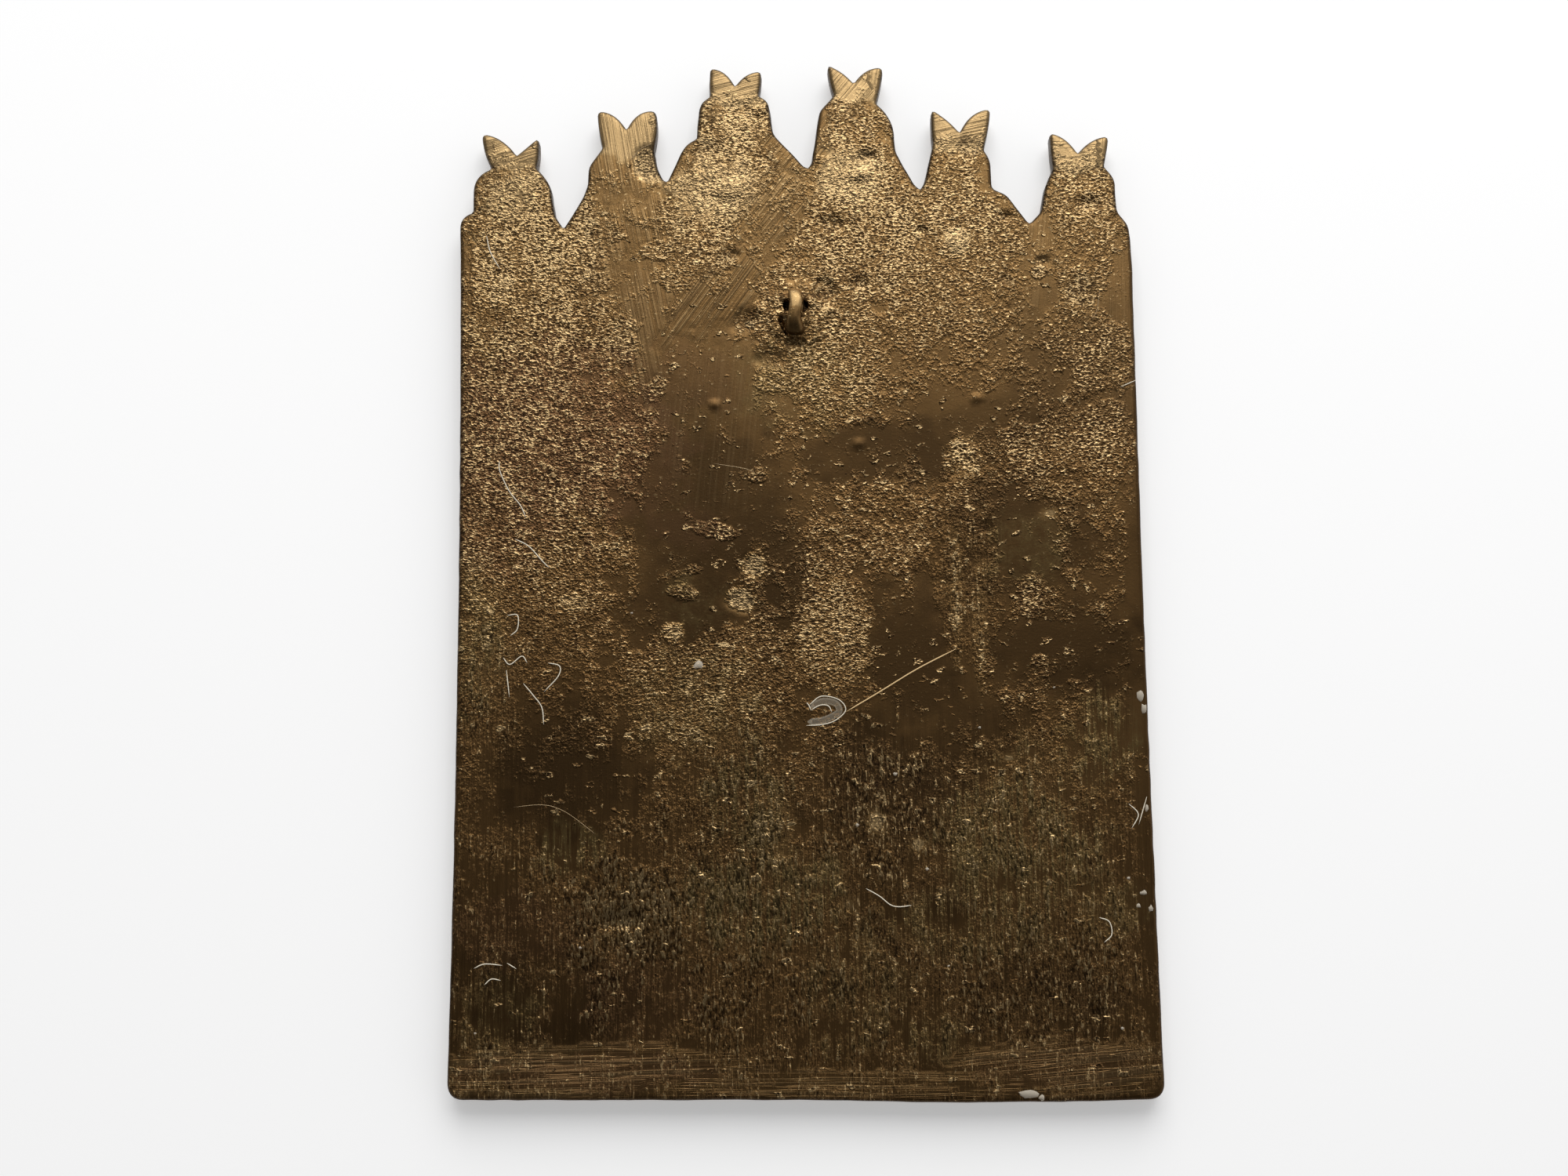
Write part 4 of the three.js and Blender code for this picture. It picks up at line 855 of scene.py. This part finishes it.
def bronze():
    """Patinated sand-cast bronze, driven by the marks on the mesh and by noise in millimetres."""
    material = bpy.data.materials.new("patinated_bronze")
    material.use_nodes = True
    tree = material.node_tree
    shader = tree.nodes["Principled BSDF"]
    mark = {name: add(tree, "Attribute", attribute_name=name).outputs["Fac"]
            for name in ("cast", "gold", "cuts", "olive", "red", "streaks", "dark", "nicks", "grime_and_shade")}
    cut = add(tree, "Attribute", attribute_name="cut").outputs["Vector"]
    place = add(tree, "TexCoord").outputs["Object"]
    in_mm = add(tree, "Mapping", {"Vector": place, "Scale": (1000, 1500, 1000)}).outputs[0]
    broad = add(tree, "Mapping", {"Vector": place, "Scale": (1000, 750, 1000)}).outputs[0]
    tall = add(tree, "Mapping", {"Vector": place, "Scale": (1000, 380, 1000)}).outputs[0]
    upright = add(tree, "Mapping", {"Vector": place, "Scale": (2600, 110, 300)}).outputs[0]
    along_cut = add(tree, "Mapping", {"Vector": cut, "Scale": (0.03, 1.6, 1.0)}).outputs[0]

    level_sand = noise(tree, in_mm, 2.1, 1.2, 0.5, 0.6)
    upright_sand = noise(tree, tall, 3.0, 1.5, 0.55, 0.3)
    sand = add(tree, "Mix", {0: mark["streaks"], 2: level_sand, 3: upright_sand}).outputs[0]
    clusters = noise(tree, broad, 0.30, 4.0, 0.8)
    stains = noise(tree, broad, 0.08, 3.0, 0.6)
    brush = noise(tree, upright, 1.0, 3.0, 0.75)
    scores = noise(tree, along_cut, 1.0, 2.0, 0.6)

    # The skin is thick where the cast mark is high, and frayed by clusters of grain
    skin = reckon(tree, "MULTIPLY_ADD", reckon(tree, "SUBTRACT", clusters, 0.5), 2.6, mark["cast"])
    streaked = reckon(tree, "MULTIPLY", reckon(tree, "SUBTRACT", brush, 0.5), mark["streaks"])
    skin = reckon(tree, "MULTIPLY_ADD", streaked, 1.8, skin)

    # Flecks: bent nicks and specks in cells about three millimetres apart
    bent = add(tree, "TexNoise", {"Vector": in_mm, "Scale": 0.8, "Detail": 1.0}).outputs["Color"]
    bent = add(tree, "VectorMath", {0: bent, 1: (2.6, 2.6, 0.0)}, operation="MULTIPLY").outputs[0]
    bent = add(tree, "VectorMath", {0: in_mm, 1: bent}, operation="ADD").outputs[0]
    cells = add(tree, "TexVoronoi", {"Vector": bent, "Scale": 0.5, "Randomness": 1.0})
    chosen = add(tree, "SeparateColor", {0: cells.outputs["Color"]})
    size = ramp(tree, chosen.outputs[1], 0.0, 1.0, 0.08, 0.36)
    nick = ramp(tree, reckon(tree, "DIVIDE", cells.outputs["Distance"], size), 1.0, 0.6)
    nick = reckon(tree, "MULTIPLY", nick, reckon(tree, "LESS_THAN", chosen.outputs[0], mark["nicks"]))
    grained = reckon(tree, "MAXIMUM", ramp(tree, skin, 0.05, 0.9), nick)
    level = reckon(tree, "MULTIPLY_ADD", skin, 0.17, sand)
    level = reckon(tree, "MULTIPLY_ADD", streaked, 0.40, level)
    level = reckon(tree, "MULTIPLY_ADD", mark["gold"], 0.07, level)
    level = reckon(tree, "MULTIPLY_ADD", nick, 0.22, level)
    # Golden where the grain stands high: rubbed metal, and in part a painted highlight on the grain.
    rubbed_and_glint = ramp(tree, level, 0.70, 0.79)

    groove = reckon(tree, "ABSOLUTE", reckon(tree, "SUBTRACT", scores, 0.5))
    groove = reckon(tree, "MULTIPLY", ramp(tree, groove, 0.035, 0.0), mark["cuts"])
    filed = reckon(tree, "MULTIPLY", ramp(tree, scores, 0.42, 0.62), mark["cuts"])
    wash = reckon(tree, "MULTIPLY_ADD", streaked, 1.5, clusters)
    wash = reckon(tree, "MULTIPLY", ramp(tree, wash, 0.38, 0.62), mark["olive"])
    shade = reckon(tree, "MULTIPLY_ADD", ramp(tree, stains, 0.35, 0.60), -0.4, 0.25)
    shade = reckon(tree, "MULTIPLY_ADD", mark["dark"], 0.9, shade)
    shade = reckon(tree, "MULTIPLY_ADD", streaked, -2.5, shade, clamp=True)
    patina = mixed(tree, shade, BROWN, DEEP_BROWN)
    # The golden share turns the patina amber and golden, on the rubbed places and, towards the top, as painted
    # light.
    patina = mixed(tree, reckon(tree, "MULTIPLY", mark["gold"], 0.9), patina, AMBER)
    patina = mixed(tree, ramp(tree, mark["gold"], 0.7, 1.0, 0.0, 0.7), patina, GOLD)
    patina = mixed(tree, reckon(tree, "MULTIPLY", wash, 0.8), patina, OLIVE)
    patina = mixed(tree, reckon(tree, "MULTIPLY", mark["red"], 0.45), patina, RED)
    # Golden along the ridges of the file cuts: bare metal, and in part a painted highlight.
    patina = mixed(tree, reckon(tree, "MULTIPLY", filed, 0.25), patina, GOLD)
    colour = mixed(tree, rubbed_and_glint, patina, GOLD)
    # Near black in the hollows of the grain: dirt there, deepened as painted shade.
    hollow = reckon(tree, "MULTIPLY", ramp(tree, sand, 0.50, 0.38), grained)
    colour = mixed(tree, reckon(tree, "MULTIPLY", hollow, 0.75), colour, GRIME_AND_SHADE)
    # Painted shade: darker lines down the grooves of the file cuts.
    colour = mixed(tree, reckon(tree, "MULTIPLY", groove, 0.5), colour, DEEP_BROWN)
    # Near black by the last mark: painted shade along the edges and walls, in the pits, in the eye's mouths and
    # on the lug's low parts, and darker where the front's ground lies deep.
    colour = mixed(tree, reckon(tree, "MULTIPLY", mark["grime_and_shade"], 0.85), colour, GRIME_AND_SHADE)

    relief = reckon(tree, "MULTIPLY", sand, ramp(tree, grained, 0.0, 1.0, 0.00001, 0.00019))
    scored = reckon(tree, "MULTIPLY", scores, reckon(tree, "MULTIPLY", mark["cuts"], 0.00012))
    scored = reckon(tree, "MULTIPLY_ADD", groove, -0.00004, scored)
    relief = reckon(tree, "ADD", relief, scored)
    relief = reckon(tree, "MULTIPLY_ADD", brush, reckon(tree, "MULTIPLY_ADD", mark["streaks"], 0.00004, 0.000015), relief)
    relief = reckon(tree, "MULTIPLY_ADD", nick, 0.00008, relief)
    bump = add(tree, "Bump", {"Height": relief, "Distance": 1.0, "Strength": 1.0})
    for name, value in (("Base Color", colour), ("Normal", bump.outputs[0]),
                        ("Roughness", ramp(tree, rubbed_and_glint, 0.0, 1.0, 0.36, 0.28))):
        tree.links.new(value, shader.inputs[name])
    shader.inputs["Metallic"].default_value = 0.97
    return material


casting.data.materials.append(bronze())

# Dust and scratches. The icon has lain in a drawer: lint and curled fibres have settled on its back,
# a hook of clear film and a golden thread lie across the middle, and a pale crust has dried along
# the right edge. A few deep scratches have thrown up bright burrs.
FIBRE = 0.08
fibre_runs = [
    [(9.1, 29.3), (11, 28.2), (12.5, 27), (13.8, 26.7), (15.5, 26.9)],
    [(-44, 92), (-43.9, 90.5), (-42.5, 87.5), (-40.8, 85.3), (-40, 83.5)],
    [(-41.5, 80.3), (-39.5, 79.2), (-37.5, 77), (-36.5, 76)], [(-46.4, 126.5), (-45.8, 124), (-44.3, 121.3)],
    [(-40, 59), (-38.5, 57.2), (-37.3, 55.5), (-37, 53)],
    [(-42.5, 69), (-41, 69), (-41, 67), (-42, 66)],
    [(-43, 62.8), (-42, 61.8), (-40.3, 63), (-39.5, 62)], [(-42.5, 61), (-42, 57)],
    [(-36.5, 62), (-34.8, 61.5), (-35, 60), (-37, 57.8)],
    [(-46.5, 18.5), (-45, 19.1), (-42.5, 18.9)], [(-41.8, 19.2), (-40.5, 18.4)],
    [(-45, 16.2), (-44, 17), (-42.7, 16.8)], [(47.5, 102.2), (49.8, 103.2)],
    [(46.7, 41), (48, 39.5), (47, 37.5)], [(49.3, 42), (48, 38)],
    [(42, 25), (43.4, 24.4), (43.7, 22.6), (42.6, 21.5)],
    [(1.2, 55.5), (3, 56.8), (5.5, 56.3), (6.5, 54.8), (5, 53.3), (3, 52.7), (0.8, 52.6)],
    [(1.5, 54.8), (2.8, 55.5), (4, 55.4), (4.5, 54.5)], [(0.9, 55.9), (1.2, 55.5), (1.5, 54.8)],
]
thread_run = [(6.5, 54.5), (11.3, 57.3), (16.8, 60.6), (22.5, 63.5)]
film_run = [(1.4, 55.2), (3.2, 56.1), (5.0, 55.8), (5.6, 54.7), (4.6, 53.9), (3, 53.3), (1, 53.1)]
burr_runs = [
    [(-41.3, 41.2), (-37, 41.5), (-34, 40.6), (-31, 38.5), (-29.5, 37.3)],
    [(-25, 138), (-23.5, 139.8), (-21.7, 140.7)], [(7.8, 144.7), (10.5, 142.8), (12, 140.8)],
    [(27.8, 141), (26.6, 137.8)], [(44.9, 117), (44.4, 114), (43.6, 112.5)],
    [(-12.5, 91.3), (-8, 90.5), (-6.5, 89.9)],
]
# Flakes of crust and dust: x, y, half width, half height
flakes = [
    (48.9, 56.6, 0.6, 1.2), (49.3, 54.6, 0.5, 0.9), (48.4, 28.4, 0.7, 0.5), (47.6, 26.6, 0.5, 0.4),
    (49.3, 26.2, 0.4, 0.6), (49.2, 40.3, 0.35, 0.8), (31.6, 0.7, 1.7, 0.8), (33.2, 0.2, 0.5, 0.5),
    (13.5, 45.5, 0.4, 0.35), (8, 38.3, 0.3, 0.3), (17.8, 32, 0.35, 0.3), (25.7, 52.1, 0.3, 0.25),
    (46.3, 30.5, 0.35, 0.3), (-14.8, 61.5, 0.85, 0.8), (44.8, 9.6, 0.3, 0.25), (36.5, 57.8, 0.25, 0.2),
    (-46.2, 9.5, 0.3, 0.2), (-31.5, 21.3, 0.3, 0.25), (-24.4, 69.2, 0.25, 0.2), (20.6, 18.4, 0.25, 0.2),
]


def resting(x, y):
    """Height of the back well inside its edge, which the dust lies on."""
    return back_height(x, y, np.full_like(x, 9.0), back_marks(x, y)["cast"])


def strand(path, half_width, half_height):
    """A closed tube along a smooth run through the path, lying on the back. Its section is a
    hexagon flattened to the two half sizes, and each end is drawn in to a third of them."""
    run = smooth_run(path)
    along = np.gradient(run, axis=0)
    along /= np.linalg.norm(along, axis=1, keepdims=True)
    across = np.stack([-along[:, 1], along[:, 0]], axis=1)
    section = np.linspace(0, 2 * np.pi, 6, endpoint=False)
    thick = np.interp(np.arange(len(run)), [0, 2, len(run) - 3, len(run) - 1], [0.3, 1, 1, 0.3])
    flat = run[:, None] + across[:, None] * (half_width * np.cos(section) * thick[:, None])[..., None]
    height = resting(*run.T)[:, None] + half_height * (0.8 + np.sin(section) * thick[:, None])
    points = np.concatenate([flat, height[..., None]], axis=2).reshape(-1, 3)
    rows, columns = len(run), 6
    faces = ring_faces(rows, columns)
    faces = faces[(faces // columns).max(axis=1) - (faces // columns).min(axis=1) <= 1]
    fan = np.array([(0, k, k + 1) for k in range(1, columns - 1)])
    return points, np.concatenate([faces, fan, fan[:, ::-1] + (rows - 1) * columns])


def flake(x, y, half_x, half_y, seed):
    """A low ragged dome: a middle point, a ring at its rim and a ring and a point under it."""
    count = 9
    angle = np.linspace(0, 2 * np.pi, count, endpoint=False)
    reach = np.random.default_rng(seed).uniform(0.6, 1.1, count)
    rim = np.stack([x + half_x * reach * np.cos(angle), y + half_y * reach * np.sin(angle)], axis=1)
    level = resting(np.array([x]), np.array([y]))[0]
    upper = np.column_stack([0.75 * rim + 0.25 * np.array([x, y]), np.full(count, level + 0.12)])
    foot = np.column_stack([rim, np.full(count, level - 0.08)])
    points = np.vstack([[(x, y, level + 0.2)], upper, foot, [(x, y, level - 0.08)]])
    k = np.arange(count)
    near, far = 1 + k, 1 + (k + 1) % count
    faces = np.concatenate([
        np.stack([0 * k, near, far], 1), np.stack([near, near + count, far + count], 1),
        np.stack([near, far + count, far], 1), np.stack([0 * k + 2 * count + 1, far + count, near + count], 1)])
    return points, faces


def joined(shapes):
    """Several points-and-faces shapes as one."""
    starts = np.cumsum([0] + [len(points) for points, faces in shapes[:-1]])
    return (np.vstack([points for points, faces in shapes]),
            np.vstack([faces + start for (points, faces), start in zip(shapes, starts)]))


def dust(name, shapes, colour, roughness, see_through=0.0, metallic=0.0):
    """A loose piece on the back with one plain material."""
    piece = shown(name, *joined(shapes))
    material = bpy.data.materials.new(name)
    material.use_nodes = True
    shader = material.node_tree.nodes["Principled BSDF"]
    shader.inputs["Base Color"].default_value = (*colour, 1)
    shader.inputs["Roughness"].default_value = roughness
    shader.inputs["Metallic"].default_value = metallic
    shader.inputs["Alpha"].default_value = 1 - see_through
    piece.data.materials.append(material)
    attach(piece, "root")


dust("fibres", [strand(run, FIBRE, 0.06) for run in fibre_runs], (0.95, 0.86, 0.68), 0.6)
dust("thread", [strand(thread_run, 0.1, 0.09)], (0.95, 0.66, 0.32), 0.45)
dust("film", [strand(film_run, 0.5, 0.05)], (0.95, 0.85, 0.66), 0.35, see_through=0.85)
dust("burrs", [strand(run, 0.045, 0.03) for run in burr_runs], (0.45, 0.33, 0.19), 0.4, metallic=1.0)
dust("crust", [flake(*spot, seed) for seed, spot in enumerate(flakes)], (0.90, 0.80, 0.64), 0.7,
     see_through=0.45)

# The table. A plain white ground lit by a broad soft light from the finials' side and a little
# from the right, so that the shade falls to the left and below the lower edge.
table_half = 1.5
world = bpy.data.worlds.new("studio")
world.use_nodes = True
sky = world.node_tree
sky.nodes["Background"].inputs["Color"].default_value = (1, 1, 1, 1)
way = add(sky, "SeparateXYZ", {0: add(sky, "TexCoord").outputs["Generated"]}).outputs
toward = reckon(sky, "MULTIPLY_ADD", way[0], 0.4, reckon(sky, "MULTIPLY", way[1], 0.9))
low_sky = reckon(sky, "MULTIPLY", ramp(sky, way[2], 0.40, 0.93, 1.0, 0.0), ramp(sky, toward, -0.9, 0.9, 0.1, 0.9))
sky.links.new(reckon(sky, "ADD", low_sky, 0.04), sky.nodes["Background"].inputs["Strength"])
bpy.context.scene.world = world
bpy.context.scene.view_settings.view_transform = "Standard"
table_mesh = bpy.data.meshes.new("table")
table_mesh.from_pydata([(-table_half, -table_half, 0), (table_half, -table_half, 0),
                        (table_half, table_half, 0), (-table_half, table_half, 0)], [], [(0, 1, 2, 3)])
table = bpy.data.objects.new("table", table_mesh)
bpy.context.collection.objects.link(table)
paper = bpy.data.materials.new("white_paper")
paper.use_nodes = True
paper.node_tree.nodes["Principled BSDF"].inputs["Base Color"].default_value = (0.93, 0.93, 0.93, 1)
paper.node_tree.nodes["Principled BSDF"].inputs["Roughness"].default_value = 0.9
paper.node_tree.nodes["Principled BSDF"].inputs["Specular IOR Level"].default_value = 0.1
paper.node_tree.nodes["Principled BSDF"].inputs["Emission Color"].default_value = (1, 1, 1, 1)
paper.node_tree.nodes["Principled BSDF"].inputs["Emission Strength"].default_value = 0.36
table_mesh.materials.append(paper)


def soft_light(name, place, size, power):
    """A square soft light that faces the icon."""
    light = bpy.data.lights.new(name, "AREA")
    light.shape = "SQUARE"
    light.size = size
    light.energy = power
    lamp = bpy.data.objects.new(name, light)
    lamp.location = place
    x, y, z = place
    lamp.rotation_euler = (math.atan2(math.hypot(x, y), z), 0, math.atan2(x, -y))
    bpy.context.collection.objects.link(lamp)


soft_light("window", (0.07, 0.65, 0.60), 0.80, 5.4)
